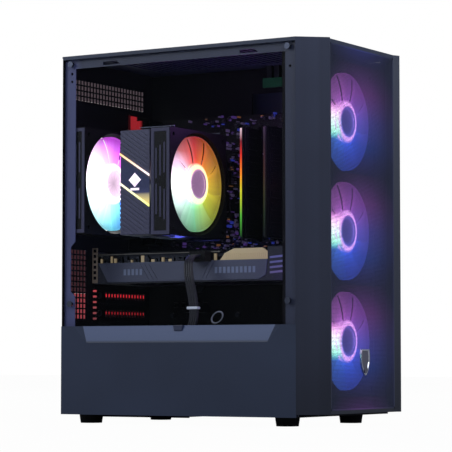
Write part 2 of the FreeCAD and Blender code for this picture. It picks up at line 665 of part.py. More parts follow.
# Motherboard
def motherboard():
    """The board, with a hole over each standoff; returns the screws that hold it."""
    plate = box("board_blank", ("board_face", "board_back"), ("board_front", "board_rear"),
                ("board_low", "board_top"))
    holes = []
    screws = []
    for i, (y, z) in enumerate(board_holes):
        holes.append(rod(f"board_hole_{i}", "X", ("board_face - 1", y, z), "board_thick + 2", "1.5"))
        shank = rod(f"board_shank_{i}", "X", ("board_face", y, z), "board_thick", "1.5")
        head = rod(f"board_head_{i}", "X", ("board_face - 2", y, z), "2", "3")
        screws.append(fuse(f"board_screw_{i}", [shank, head]))
    keep("motherboard", cut("motherboard", plate, holes))
    return screws


def rear_ports():
    """The port plate and the metal port shells along the rear edge of the board."""
    plate = box("port_plate", ("io_left + 0.4", "board_face - 0.2"), ("rear_in - 0.8", "rear_in + 0.4"),
                ("io_low + 0.4", "io_top - 0.4"))
    shells = []
    ports = (("lan", 6, 16, 27), ("usb_a", 26, 14, 31), ("usb_b", 44, 14, 31), ("video", 62, 16, 12),
             ("usb_c", 82, 14, 31), ("antenna", 102, 14, 13), ("audio", 122, 30, 14))
    for name, drop, tall, wide in ports:
        z = f"io_top - {drop}"
        shells.append(box(f"port_{name}", (f"board_face - {wide}", "board_face"),
                          ("rear_in - 20", "rear_in + 0.8"), (f"{z} - {tall}", z)))
    keep("rear_ports", fuse("rear_ports", [plate] + shells))


def board_parts():
    """Heatsinks, sockets, memory, slots and connectors on the face of the board."""
    fins = [box("vrm_base", ("board_face - 8", "board_face"), ("cpu_depth + 36", "cpu_depth + 56"),
                ("cpu_level - 46", "cpu_level + 46"))]
    for i in range(10):
        z = f"cpu_level - 44 + {i} * 9.4"
        fins.append(box(f"vrm_fin_{i}", ("board_face - 24", "board_face - 8"),
                        ("cpu_depth + 36", "cpu_depth + 56"), (z, f"{z} + 4")))
    heatsinks = [fuse("vrm_heatsink", fins)]
    chip = [box("chip_base", ("board_face - 4", "board_face"), ("board_front + 14", "board_front + 56"),
                ("board_low + 12", "board_low + 46"))]
    for i in range(6):
        y = f"board_front + 15 + {i} * 7"
        chip.append(box(f"chip_fin_{i}", ("board_face - 10", "board_face - 4"), (y, f"{y} + 4"),
                        ("board_low + 12", "board_low + 46")))
    heatsinks.append(fuse("chipset_heatsink", chip))
    keep("board_heatsinks", group("board_heatsinks", heatsinks))
    slots = []
    modules = []
    bars = []
    for i in range(4):
        y = f"cpu_depth - 69 - {i} * memory_pitch"
        blank = box(f"memory_slot_blank_{i}", ("board_face - 8", "board_face"), (f"{y} - 3", f"{y} + 3"),
                    ("cpu_level - 62", "cpu_level + 71"))
        groove = box(f"memory_groove_{i}", ("board_face - 9", "board_face - 3"),
                     (f"{y} - 0.8", f"{y} + 0.8"),
                     ("cpu_level - 60", "cpu_level + 69"))
        slots.append(cut(f"memory_slot_{i}", blank, [groove]))
        if i in (0, 3):
            tongue = box(f"memory_tongue_{i}", ("board_face - 9", "board_face - 3.5"),
                         (f"{y} - 0.6", f"{y} + 0.6"), ("cpu_level - 59", "cpu_level + 68"))
            body = box(f"memory_body_{i}", ("board_face - 38", "board_face - 8.4"),
                       (f"{y} - 3.6", f"{y} + 3.6"), ("cpu_level - 59", "cpu_level + 68"))
            modules.append(fuse(f"memory_module_{i}", [tongue, body]))
            bars.append(box(f"memory_bar_{i}", ("board_face - 44", "board_face - 38"),
                            (f"{y} - 3.2", f"{y} + 3.2"), ("cpu_level - 58", "cpu_level + 67")))
    keep("memory_modules", group("memory_modules", modules))
    keep("memory_light_bars", group("memory_light_bars", bars))
    long_slot = box("long_slot_blank", ("board_face - 11", "board_face"),
                    ("board_rear - 145", "board_rear - 56"),
                    ("slot_level - 7", "slot_level + 1"))
    groove = box("long_slot_groove", ("board_face - 12", "board_face - 3"),
                 ("board_rear - 143", "board_rear - 58"), ("slot_level - 4", "slot_level - 2"))
    short_slot = box("short_slot", ("board_face - 11", "board_face"),
                     ("board_rear - 84", "board_rear - 56"),
                     ("slot_level - 3 * slot_pitch - 7", "slot_level - 3 * slot_pitch + 1"))
    slots += [cut("long_slot", long_slot, [groove]), short_slot]
    plugs = [box("board_socket_main", ("board_face - 13", "board_face"),
                 ("board_front + 2", "board_front + 11"),
                 ("cpu_level - 20", "cpu_level + 34")),
             box("board_socket_cpu", ("board_face - 13", "board_face"),
                 ("board_rear - 44", "board_rear - 24"),
                 ("board_top - 24", "board_top - 14"))]
    for i in range(4):
        z = f"board_low + 60 + {i} * 9"
        plugs.append(box(f"data_socket_{i}", ("board_face - 8", "board_face"),
                         ("board_front + 2", "board_front + 16"), (z, f"{z} + 6")))
    cans = []
    for i in range(6):
        cans.append(rod(f"choke_can_{i}", "X",
                        ("board_face - 10", "cpu_depth + 31", f"cpu_level - 40 + {i} * 15"),
                        "10", "3"))
    for i in range(5):
        cans.append(rod(f"audio_can_{i}", "X",
                        ("board_face - 9", f"board_rear - 40 - {i} * 10", "board_low + 24"),
                        "9", "3"))
    for i in range(3):
        cans.append(rod(f"memory_can_{i}", "X", ("board_face - 9", "board_front + 14",
                        f"board_top - 22 - {i} * 12"), "9", "3"))
    cell = rod("coin_cell", "X", ("board_face - 4", "board_rear - 70", "board_low + 48"), "4", "10")
    socket = box("socket_block", ("board_face - 5", "board_face"), ("cpu_depth - 30", "cpu_depth + 24"),
                 ("cpu_level - 32", "cpu_level + 32"))
    chip = box("processor_lid", ("board_face - 8", "board_face - 5"), ("cpu_depth - 19", "cpu_depth + 17"),
               ("cpu_level - 18", "cpu_level + 18"))
    cpu_socket = fuse("cpu_socket", [socket, chip])
    keep("board_parts", group("board_parts", slots + plugs + cans + [cell, cpu_socket]))


# Processor cooler
pipe_rows = ("0 - 24", "0 - 8", "8", "24")


def processor_cooler():
    """Cold plate, four heat pipes, a fin stack, its cover, light strips and the fan."""
    plate_x = ("board_face - 8 - 2 * cooler_base", "board_face - 8")
    plate = box("cold_plate_blank", plate_x, ("cpu_depth - 22", "cpu_depth + 20"),
                ("cpu_level - 36", "cpu_level + 36"))
    middle = "(fin_front + fin_depth / 2)"
    tops = "(cooler_face + cover_thick + 1)"
    pipes = []
    for i, z in enumerate(pipe_rows):
        spot = (tops, f"{middle} + ({i} - 1.5) * 7", f"cpu_level + ({z}) * 1.2")
        length = f"board_face - 8 - cooler_base - {tops}"
        pipes.append(rod(f"heat_pipe_{i}", "X", spot, length, "pipe_radius"))
    keep("cooler_heat_pipes", group("cooler_heat_pipes", pipes))
    keep("cooler_base", cut("cooler_base", plate, [doc.getObject("cooler_heat_pipes")]))
    stack = []
    spine_z = ("cpu_level - fin_width / 2", "cpu_level + fin_width / 2")
    for i in range(40):
        x = f"cooler_face + cover_thick + {i} * fin_pitch"
        stack.append(box(f"fin_{i}", (x, f"{x} + fin_sheet"), ("fin_front", "fin_rear"), spine_z))
    for i, z in enumerate(("0 - 1", "1")):
        low = f"cpu_level + ({z}) * (fin_width / 2 - 4) - 1"
        stack.append(box(f"fin_spine_{i}", ("cooler_face + cover_thick",
                         "cooler_face + cover_thick + 39 * fin_pitch"), ("fin_front + 4", "fin_rear - 4"),
                         (low, f"{low} + 2")))
    keep("cooler_fins", cut("cooler_fins", fuse("fin_block", stack),
                            [doc.getObject("cooler_heat_pipes")]))
    keep("cooler_cover", box("cooler_cover", ("cooler_face", "cooler_face + cover_thick"),
                             ("fin_front", "fin_rear"), spine_z))
    strips = []
    for name, rear_z, front_z in (("upper", "cpu_level + 31", "cpu_level + 6"),
                                  ("lower", "cpu_level - 2", "cpu_level - 28")):
        face = "cooler_face - 1.2"
        corners = {}
        for depth, x in (("out", face), ("in", "cooler_face")):
            corners[f"rear_high_{depth}"] = (x, "fin_rear", f"{rear_z} + 2.4")
            corners[f"rear_low_{depth}"] = (x, "fin_rear", rear_z)
            corners[f"front_high_{depth}"] = (x, "fin_front", f"{front_z} + 2.4")
            corners[f"front_low_{depth}"] = (x, "fin_front", front_z)
        ring = ("rear_high", "rear_low", "front_low", "front_high")
        faces = [tuple(f"{key}_out" for key in ring), tuple(f"{key}_in" for key in reversed(ring))]
        for a, b in zip(ring, ring[1:] + ring[:1]):
            faces.append((f"{a}_out", f"{a}_in", f"{b}_in", f"{b}_out"))
        strips.append(solid_from_corners(f"cooler_strip_{name}", corners, faces))
    keep("cooler_light_strips", group("cooler_light_strips", strips))
    spot = ("cooler_middle", "cooler_fan_back", "cpu_level")
    keep("cooler_fan_frame", fan_frame("cooler_fan_frame", spot, facing_front))
    fan_rotor("cooler_fan_rotor", spot, facing_front, "blade_reach", "hub_radius", "motor_disc + 1",
              "fan_thick - 1")
    clips = []
    for i, side in enumerate(("0 - 1", "1")):
        z = f"cpu_level + ({side}) * (fan_half + 1.2)"
        for j, x in enumerate(("cooler_face + 8", "cooler_face + 104")):
            clips.append(rod(f"fan_clip_{i}_{j}", "Y", (x, "cooler_fan_back - fan_thick - 1", z),
                             "fan_thick + 20", "0.9"))
    keep("cooler_fan_clips", group("cooler_fan_clips", clips))


# Graphics card
def graphics_card():
    """Board, finned heatsink, shroud with two fans, end cap and bracket."""
    rear_end = "board_rear - 3"
    tail = "(card_front + 58)"
    low = "(slot_level - card_depth)"
    side = ("card_side", "board_face - 9")
    board = box("card_board_blank", ("card_side", "board_face - 11.4"), (tail, rear_end),
                ("slot_level - 3.8", "slot_level - 2.2"))
    edge = box("card_edge", ("board_face - 11.4", "board_face - 3.4"),
               ("board_rear - 142", "board_rear - 59"),
               ("slot_level - 3.8", "slot_level - 2.2"))
    plug = box("card_plug", ("card_side - 14", "card_side"), ("0 - 1", "19"),
               ("slot_level - 15", "slot_level - 3.8"))
    keep("card_board", group("card_board", [fuse("card_plate", [board, edge]), plug]))
    sink = [box("sink_base", ("card_side + 4", "board_face - 12"), ("card_front", "board_rear - 12"),
                ("slot_level - 9", "slot_level - 3.8"))]
    for i in range(52):
        y = f"card_front + 1 + {i} * (card_length - 15.8) / 52"
        high = "slot_level - 3.8" if i > 13 else "slot_level"
        sink.append(box(f"sink_fin_{i}", ("card_side + 4", "board_face - 12"), (y, f"{y} + 1"),
                        (f"{low} + 19", high)))
    keep("card_heatsink", fuse("card_heatsink", sink))
    walls = [box("shroud_side_near", ("card_side", "card_side + card_wall"), ("card_front", rear_end),
                 (f"{low} + 2", f"{low} + 23")),
             box("shroud_side_far", ("board_face - 9 - card_wall", "board_face - 9"),
                 ("card_front", rear_end),
                 (f"{low} + 2", f"{low} + 23")),
             box("shroud_floor", ("card_side", "board_face - 9"), ("card_front", rear_end),
                 (low, f"{low} + card_wall")),
             box("shroud_end", side, ("card_front - card_cap", "card_front"), (low, "slot_level"))]
    across = "((card_side + board_face - 9) / 2)"
    spots = [f"card_front + card_length / 2 + ({i}) * card_fan_pitch" for i in ("0.5", "0 - 0.5")]
    fan_holes = [rod(f"card_fan_hole_{i}", "Z", (across, y, f"{low} - 1"), "4", "card_fan_radius + 1.5")
                 for i, y in enumerate(spots)]
    carriers = []
    for i, y in enumerate(spots):
        carriers.append(box(f"card_fan_arm_{i}", ("card_side + 2", "board_face - 11"),
                            (f"{y} - 3", f"{y} + 3"),
                            (f"{low} + 16.5", f"{low} + 18")))
        carriers.append(rod(f"card_fan_disc_{i}", "Z", (across, y, f"{low} + 15"), "3", "card_fan_hub"))
    bores = [rod(f"card_fan_bore_{i}", "Z", (across, y, f"{low} + 14"), "3", "shaft_radius + shaft_fit")
             for i, y in enumerate(spots)]
    keep("card_shroud", cut("card_shroud", fuse("shroud_skin", walls + carriers), fan_holes + bores))
    for i, y in enumerate(spots):
        fan_rotor(f"card_fan_rotor_{i + 1}", (across, y, f"{low} + 18"), facing_down, "card_fan_radius",
                  "card_fan_hub", "4", "16", 11)
    plate = box("bracket_plate", ("board_face - 112", "board_face - 3"), ("rear_in - 1.2", "rear_in"),
                (low + " + 1", "slot_level"))
    tabs = box("bracket_foot", ("board_face - 100", "board_face - 20"), ("board_rear - 3", "rear_in - 1.2"),
               ("slot_level - 6", "slot_level - 3.8"))
    keep("card_bracket", fuse("card_bracket", [plate, tabs]))


def slot_covers(board_screws):
    """The two blank slot covers; the screws of all four slots join those of the board."""
    covers = []
    screws = []
    for i in (2, 3):
        z = f"slot_level - {i} * slot_pitch"
        blank = box(f"slot_cover_blank_{i}", ("board_face - 112", "board_face - 3"),
                    ("rear_in - 1", "rear_in"),
                    (f"{z} - 18", f"{z}"))
        slits = []
        for j in range(14):
            x = f"board_face - 90 + {j} * 6"
            slits.append(box(f"cover_slit_{i}_{j}", (x, f"{x} + 3.4"), ("rear_in - 2", "rear_in + 1"),
                             (f"{z} - 13", f"{z} - 5")))
        covers.append(cut(f"slot_cover_{i}", blank, slits))
    for i in range(4):
        z = f"slot_level - {i} * slot_pitch - 9"
        lift = "1.2" if i < 2 else "1"
        screws.append(rod(f"slot_screw_{i}", "Y", ("board_face - 104", f"rear_in - {lift} - 2.4", z), "2.4",
                          "3.4"))
    keep("slot_covers", group("slot_covers", covers))
    keep("chassis_screws", group("chassis_screws", screws + board_screws))


# Power supply and drives
def power_supply():
    """The case, fan, circuit, inlet and rocker switch of the power supply."""
    x = ("0 - supply_width / 2", "supply_width / 2")
    y = ("supply_front", "rear_in")
    z = ("supply_low", "supply_high")
    block = box("supply_block", x, y, z)
    wall = "supply_sheet"
    hollow = box("supply_hollow", (f"{x[0]} + {wall}", f"{x[1]} - {wall}"),
                 (f"{y[0]} + {wall}", f"{y[1]} - {wall}"),
                 (f"{z[0]} + {wall}", f"{z[1]} - {wall}"))
    across = "(supply_front + supply_length / 2)"
    openings = [hollow, rod("supply_fan_hole", "Z", ("0", across, "supply_low - 1"), "supply_sheet + 2",
                            "fan_bore - 1"),
                box("inlet_hole", ("supply_width / 2 - 40", "supply_width / 2 - 12"),
                    ("rear_in - 2", "rear_in + 1"),
                    ("supply_low + 14", "supply_low + 34")),
                box("switch_hole", ("supply_width / 2 - 33", "supply_width / 2 - 19"),
                    ("rear_in - 2", "rear_in + 1"),
                    ("supply_low + 42", "supply_low + 62"))]
    for i in range(12):
        for j in range(10):
            spot = f"0 - supply_width / 2 + 10 + {i} * 7.6"
            level = f"supply_low + 8 + {j} * 7.2"
            openings.append(box(f"supply_vent_{i}_{j}", (spot, f"{spot} + 5.6"),
                                ("rear_in - 2", "rear_in + 1"),
                                (level, f"{level} + 5.2")))
    spot = ("0", across, "supply_low + supply_sheet + fan_thick")
    keep("psu_case", group("psu_case", [cut("supply_shell", block, openings),
                                        fan_frame("psu_fan_frame", spot, facing_down)]))
    fan_rotor("psu_fan_rotor", spot, facing_down, "blade_reach", "hub_radius", "motor_disc + 1",
              "fan_thick - 1")
    circuit = [box("supply_board", ("0 - 68", "68"), ("supply_front + 8", "rear_in - 8"),
                   ("supply_high - 6", "supply_high - 4")),
               box("supply_transformer", ("0 - 20", "20"), ("supply_front + 40", "supply_front + 76"),
                   ("supply_high - 40", "supply_high - 6")),
               box("supply_sink", ("30", "36"), ("supply_front + 20", "rear_in - 30"),
                   ("supply_high - 42", "supply_high - 6")),
               box("supply_choke", ("0 - 56", "0 - 34"), ("supply_front + 24", "supply_front + 60"),
                   ("supply_high - 36", "supply_high - 6"))]
    keep("psu_circuit", fuse("psu_circuit", circuit))
    shell = box("inlet_shell", ("supply_width / 2 - 40", "supply_width / 2 - 12"),
                ("rear_in - 9", "rear + 0.6"),
                ("supply_low + 14", "supply_low + 34"))
    well = box("inlet_well", ("supply_width / 2 - 38", "supply_width / 2 - 14"),
               ("rear_in - 7", "rear + 1"),
               ("supply_low + 16", "supply_low + 32"))
    blades = [box(f"inlet_blade_{i}",
                  (f"supply_width / 2 - 26 + ({dx}) - 1", f"supply_width / 2 - 26 + ({dx}) + 1"),
                  ("rear_in - 8", "rear_in - 2"), (f"supply_low + {dz}", f"supply_low + {dz} + 4"))
              for i, (dx, dz) in enumerate((("0 - 7", "20"), ("0", "24"), ("7", "20")))]
    inlet = fuse("inlet_socket", [cut("inlet_cup", shell, [well])] + blades)
    mount = box("switch_shell", ("supply_width / 2 - 33", "supply_width / 2 - 19"),
                ("rear_in - 14", "rear"),
                ("supply_low + 42", "supply_low + 62"))
    cell = box("switch_cell", ("supply_width / 2 - 31.5", "supply_width / 2 - 20.5"),
               ("rear_in - 12", "rear + 1"),
               ("supply_low + 43.2", "supply_low + 60.8"))
    keep("psu_inlet", group("psu_inlet", [inlet, cut("switch_housing", mount, [cell])]))
    drum = rod("switch_drum", "X", ("supply_width / 2 - 31", "rear - 4", "supply_low + 52"), "10", "7")
    flat = box("switch_flat", ("supply_width / 2 - 32", "supply_width / 2 - 20"),
               ("rear + 1.4", "rear + 8"),
               ("supply_low + 42", "supply_low + 62"))
    keep("power_switch", cut("power_switch", drum, [flat]))


def drives():
    """A two-place drive cage with a caddy and one hard drive."""
    y0 = "(fan_plate + 12)"
    y1 = "(fan_plate + 12 + drive_width + 12)"
    x = ("0 - drive_length / 2 - 4", "drive_length / 2 + 4")
    parts = [box("cage_front", x, (y0, f"{y0} + 1"), ("floor", "floor + 72")),
             box("cage_back", x, (f"{y1} - 1", y1), ("floor", "floor + 72")),
             box("cage_roof", x, (y0, y1), ("floor + 72", "floor + 73"))]
    for i, edge in enumerate((f"{y0} + 1", f"{y1} - 4")):
        parts.append(box(f"cage_rail_{i}", x, (edge, f"{edge} + 3"), ("floor + 36", "floor + 37.5")))
    keep("drive_cage", fuse("drive_cage", parts))
    span = (f"{y0} + 1.4", f"{y1} - 1.4")
    tray_parts = [box("caddy_floor", x, span, ("floor + 0.6", "floor + 2.6")),
                  box("caddy_wall_front", x, (span[0], f"{span[0]} + 2.6"), ("floor + 0.6", "floor + 24")),
                  box("caddy_wall_back", x, (f"{span[1]} - 2.6", span[1]), ("floor + 0.6", "floor + 24")),
                  box("caddy_grip", (x[1], f"{x[1]} + 4"), span, ("floor + 0.6", "floor + 30"))]
    keep("drive_caddy", fuse("drive_caddy", tray_parts))
    keep("hard_drive", box("hard_drive", ("0 - drive_length / 2", "drive_length / 2"),
                           (f"({y0} + {y1}) / 2 - drive_width / 2", f"({y0} + {y1}) / 2 + drive_width / 2"),
                           ("floor + 2.6", "floor + 2.6 + drive_height")))


# Front ports, buttons, filter
def front_ports():
    """The port board under the top, its port shells and the two buttons."""
    port_board = box("port_board", ("io_board", "io_board + port_sheet"), ("front + 90", "front + 165"),
                     ("ceiling - 26", "ceiling - 15"))
    shells = []
    for name, y, length, width in port_row:
        block = box(f"{name}_shell", (f"port_x - {width} / 2", f"port_x + {width} / 2"),
                    (y, f"{y} + {length}"),
                    ("ceiling - 15", "top - 0.2"))
        well = box(f"{name}_well", (f"port_x - {width} / 2 + 0.5", f"port_x + {width} / 2 - 0.5"),
                   (f"{y} + 0.5", f"{y} + {length} - 0.5"), ("ceiling - 10", "top + 1"))
        foot = box(f"{name}_foot", ("io_board + port_sheet", f"port_x + {width} / 2"),
                   (y, f"{y} + {length}"),
                   ("ceiling - 18", "ceiling - 15"))
        shells.append(fuse(f"{name}_port", [cut(f"{name}_cup", block, [well]), foot]))
    keep("front_io_ports", group("front_io_ports", shells))
    for name, y, radius in button_row:
        cap = rod(f"{name}_cap", "Z", ("port_x", y, "ceiling - 4"), "top_sheet + 4", radius)
        keep(name, cap)
    y = button_row[0][1]
    board = box("button_board", ("port_x - 9", "port_x + 9"), (f"{y} - 9", f"{button_row[1][1]} + 6"),
                ("ceiling - 12", "ceiling - 10.4"))
    posts = [rod(f"button_post_{name}", "Z", ("port_x", at, "ceiling - 10.4"), "2.4", "1.6")
             for name, at, radius in button_row]
    keep("front_io_board", group("front_io_board", [port_board, fuse("button_board", [board] + posts)]))


def bottom_filter():
    """A framed dust filter that slides out to the rear under the base pan."""
    frame = box("bottom_frame", ("0 - 50", "50"), filter_run, ("base - 2.6", "base - 0.4"))
    cells = [box(f"bottom_cell_{i}", (f"0 - 46 + {i} * 31", f"0 - 46 + {i} * 31 + 30"),
                 ("supply_front + 10", "rear - 14"), ("base - 3", "base - 1.2")) for i in range(3)]
    keep("bottom_filter", cut("bottom_filter", frame, cells))


# Cables
def cables():
    """Power to the graphics card, power to the main board, and the front port lead."""
    socket_side = "0 - supply_width / 2"
    keep("card_power_cable", tube("card_power_cable", [
        ("card_side - 14", "9", "slot_level - 9"), ("inner_left + 20", "9", "slot_level - 9"),
        ("inner_left + 12", "6", "slot_level - 28"), ("inner_left + 13", "0 - 1", "slot_level - 58"),
        ("inner_left + 12", "0 - 3", "shroud_level + 4"), (f"{socket_side} - 15", "14", "shroud_level - 20"),
        (f"{socket_side} - 15", "44", "shroud_level - 38"), (socket_side, "44",
                                                             "shroud_level - 38")], "power_cord"))
    across = "board_front + 6.5"
    keep("board_power_cable", tube("board_power_cable", [
        ("48", "supply_front", "shroud_level - 11"), ("48", "supply_front - 38", "shroud_level - 11"),
        ("53", "supply_front - 78", "shroud_level - 11"),
        ("board_face - 15", "board_front - 17", "shroud_level - 11.5"),
        ("board_face - 15", "board_front - 18", "shroud_level + 30"),
        ("board_face - 16", "board_front - 18", "shroud_level + 72"),
        ("board_face - 22", "board_front - 17", "cpu_level - 50"),
        ("board_face - 32", "board_front - 12", "cpu_level - 20"),
        ("board_face - 34", across, "cpu_level + 7"), ("board_face - 13", across, "cpu_level + 7")],
                                    "power_cord"))
    keep("front_io_cable", tube("front_io_cable", [
        ("io_board - 2", "front + 128", "ceiling - 26"), ("io_board - 3", "front + 127", "ceiling - 46"),
        ("io_board - 2", "front + 112", "ceiling - 60"), ("io_board + 2", "front + 88", "ceiling - 74"),
        ("board_face - 1", "front + 70", "ceiling - 96"), ("tray - 4", "front + 64", "ceiling - 120"),
        ("tray - 4", "front + 63", "ceiling - 146")], "signal_cord"))


feet()
base_pan()
rear_panel()
window_frame()
lower_side_cover()
front_fan_plate()
motherboard_tray()
psu_shroud()
top_panel()
top_filter()
right_side_panel()
side_glass()
front_bezel()
front_mesh()
front_badge()
case_fans()
board_fixings = motherboard()
rear_ports()
board_parts()
processor_cooler()
graphics_card()
slot_covers(board_fixings)
power_supply()
drives()
front_ports()
bottom_filter()
cables()

doc.recompute()
for item in doc.Objects:
    if "Invalid" in item.State or "Error" in item.State:
        raise RuntimeError(f"{item.Name} did not build: {item.State}")
for label, item in nodes.items():
    if item.Shape.isNull() or not item.Shape.isValid():
        raise RuntimeError(f"{label} has no valid shape")
for label, item in nodes.items():
    item.Shape.exportStep(f"parts/{label}.step")
print(len(nodes), "sub-parts written")
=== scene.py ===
import bpy
import bmesh
import json
import math
import random
from mathutils import Matrix, Vector


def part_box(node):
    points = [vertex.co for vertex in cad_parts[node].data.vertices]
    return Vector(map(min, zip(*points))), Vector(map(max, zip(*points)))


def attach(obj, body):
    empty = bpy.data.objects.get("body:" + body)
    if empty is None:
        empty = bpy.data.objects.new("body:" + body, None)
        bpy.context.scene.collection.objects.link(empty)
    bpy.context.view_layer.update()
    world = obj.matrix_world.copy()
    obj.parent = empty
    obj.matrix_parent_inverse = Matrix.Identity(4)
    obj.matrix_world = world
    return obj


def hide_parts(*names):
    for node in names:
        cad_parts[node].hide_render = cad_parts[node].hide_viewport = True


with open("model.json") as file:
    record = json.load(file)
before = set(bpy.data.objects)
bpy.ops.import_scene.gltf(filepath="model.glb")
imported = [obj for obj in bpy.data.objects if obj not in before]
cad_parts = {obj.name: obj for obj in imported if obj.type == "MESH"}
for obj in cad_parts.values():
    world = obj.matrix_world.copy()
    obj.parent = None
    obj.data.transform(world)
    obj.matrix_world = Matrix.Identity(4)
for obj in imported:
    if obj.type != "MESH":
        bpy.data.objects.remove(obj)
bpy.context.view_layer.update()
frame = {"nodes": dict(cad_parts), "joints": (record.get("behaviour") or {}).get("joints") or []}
cadNodes = frame["nodes"]
print("frame loaded:", len(cadNodes), "nodes")


# small tools for meshes

def clearSelection():
    if bpy.context.object and bpy.context.object.mode != "OBJECT":
        bpy.ops.object.mode_set(mode="OBJECT")
    bpy.ops.object.select_all(action="DESELECT")


def activate(obj):
    clearSelection()
    obj.select_set(True)
    bpy.context.view_layer.objects.active = obj


def applyPlace(obj):
    activate(obj)
    bpy.ops.object.transform_apply(location=True, rotation=True, scale=True)


def addBlock(name, low, high):
    clearSelection()
    middle = [(a + b) / 2 for a, b in zip(low, high)]
    bpy.ops.mesh.primitive_cube_add(size=1, location=middle)
    block = bpy.context.object
    block.name = name
    block.scale = [b - a for a, b in zip(low, high)]
    applyPlace(block)
    return block


axisTurns = {"X": (0, math.pi / 2, 0), "Y": (math.pi / 2, 0, 0), "Z": (0, 0, 0)}


def addRound(name, middle, radius, length, axis="Y", sides=48):
    clearSelection()
    bpy.ops.mesh.primitive_cylinder_add(vertices=sides, radius=radius, depth=length,
                                        location=middle, rotation=axisTurns[axis])
    drum = bpy.context.object
    drum.name = name
    applyPlace(drum)
    return drum


def useModifier(obj, kind, **values):
    activate(obj)
    modifier = obj.modifiers.new(kind.title(), kind)
    for key, value in values.items():
        setattr(modifier, key, value)
    bpy.ops.object.modifier_apply(modifier=modifier.name)
    return obj


def roundEdges(obj, width, segments=2):
    return useModifier(obj, "BEVEL", width=width, segments=segments, limit_method="ANGLE",
                       angle_limit=math.radians(40))


def smooth(obj, angle=35):
    activate(obj)
    bpy.ops.object.shade_smooth_by_angle(angle=math.radians(angle))
    return obj


def joinAll(name, parts):
    clearSelection()
    for part in parts:
        part.select_set(True)
    bpy.context.view_layer.objects.active = parts[0]
    if len(parts) > 1:
        bpy.ops.object.join()
    whole = bpy.context.object
    whole.name = name
    return whole


def copyTurned(obj, turn):
    twin = obj.copy()
    twin.data = obj.data.copy()
    bpy.context.collection.objects.link(twin)
    twin.data.transform(turn)
    return twin


def editSelect(obj, test):
    # faces whose middle and normal pass the test are selected, and edit mode is left open
    activate(obj)
    bpy.ops.object.mode_set(mode="EDIT")
    bpy.ops.mesh.select_mode(type="FACE")
    bpy.ops.mesh.select_all(action="DESELECT")
    mesh = bmesh.from_edit_mesh(obj.data)
    for face in mesh.faces:
        face.select = test(face.calc_center_median(), face.normal)
    mesh.select_flush(True)
    bmesh.update_edit_mesh(obj.data)


def editAll(obj):
    activate(obj)
    bpy.ops.object.mode_set(mode="EDIT")
    bpy.ops.mesh.select_all(action="SELECT")


def insetFaces(obj, test, *insets):
    # insets the faces that pass the test, and returns the inner ones
    editSelect(obj, test)
    for thickness, depth in insets:
        bpy.ops.mesh.inset(thickness=thickness, depth=depth)
    inner = [face.index for face in bmesh.from_edit_mesh(obj.data).faces if face.select]
    endEdit()
    return inner


def paintFaces(obj, material, faces):
    obj.data.materials.append(material)
    for index in faces:
        obj.data.polygons[index].material_index = 1


def endEdit():
    bpy.ops.object.mode_set(mode="OBJECT")


# small tools for materials

def newMaterial(name, colour, roughness, metallic=0.0):
    material = bpy.data.materials.new(name)
    material.use_nodes = True
    shader = shaderOf(material)
    shader.inputs["Base Color"].default_value = (*colour, 1)
    shader.inputs["Roughness"].default_value = roughness
    shader.inputs["Metallic"].default_value = metallic
    return material, material.node_tree, shader


def addNode(tree, kind, **values):
    node = tree.nodes.new(kind)
    for key, value in values.items():
        if key in node.inputs:
            node.inputs[key].default_value = value
        else:
            setattr(node, key, value)
    return node


def noiseOn(tree, scale, detail=3.0, stretch=(1, 1, 1)):
    place = addNode(tree, "ShaderNodeTexCoord")
    mapping = addNode(tree, "ShaderNodeMapping")
    mapping.inputs["Scale"].default_value = stretch
    noise = addNode(tree, "ShaderNodeTexNoise", Scale=scale, Detail=detail)
    tree.links.new(place.outputs["Object"], mapping.inputs["Vector"])
    tree.links.new(mapping.outputs["Vector"], noise.inputs["Vector"])
    return noise.outputs["Fac"]


def rampOn(tree, source, stops):
    ramp = addNode(tree, "ShaderNodeValToRGB")
    while len(ramp.color_ramp.elements) < len(stops):
        ramp.color_ramp.elements.new(0.5)
    for element, (spot, colour) in zip(ramp.color_ramp.elements, stops):
        element.position = spot
        element.color = (*colour, 1)
    tree.links.new(source, ramp.inputs["Fac"])
    return ramp.outputs["Color"]


def bumpOn(tree, shader, source, strength, distance=0.0005):
    bump = addNode(tree, "ShaderNodeBump", Strength=strength, Distance=distance)
    tree.links.new(source, bump.inputs["Height"])
    feed(shader, bump.outputs["Normal"], "Normal")


def shade(colour, factor):
    return tuple(min(1.0, channel * factor) for channel in colour)


def coatedMetal(name, colour, roughness=0.45, grain=900, bump=0.08, specular=0.3, variation=0.12):
    material, tree, shader = newMaterial(name, colour, roughness)
    shader.inputs["Specular IOR Level"].default_value = specular
    fine = noiseOn(tree, grain)
    broad = noiseOn(tree, 9, 2.0)
    tone = rampOn(tree, broad, [(0.3, shade(colour, 1 - variation)),
                                               (0.7, shade(colour, 1 + variation))])
    feed(shader, tone, "Base Color")
    bumpOn(tree, shader, fine, bump, 0.0002)
    return material


def brushedMetal(name, colour, roughness=0.3, stretch=(1, 60, 1), scale=180):
    material, tree, shader = newMaterial(name, colour, roughness, 1.0)
    lines = noiseOn(tree, scale, 2.0, stretch)
    tone = rampOn(tree, lines, [(0.3, shade(colour, 0.8)), (0.7, shade(colour, 1.15))])
    feed(shader, tone, "Base Color")
    bumpOn(tree, shader, lines, 0.15, 0.0002)
    return material


def satinCoat(name, colour, roughness=0.4, specular=0.4):
    return coatedMetal(name, srgb(*colour), roughness, 900, 0.05, specular)


def mouldedPlastic(name, colour, roughness=0.5, grain=1800, bump=0.15, specular=0.3):
    return coatedMetal(name, colour, roughness, grain, bump, specular, 0.08)


def srgb(red, green, blue):
    def linear(value):
        value = value / 255
        return value / 12.92 if value <= 0.04045 else ((value + 0.055) / 1.055) ** 2.4
    return (linear(red), linear(green), linear(blue))


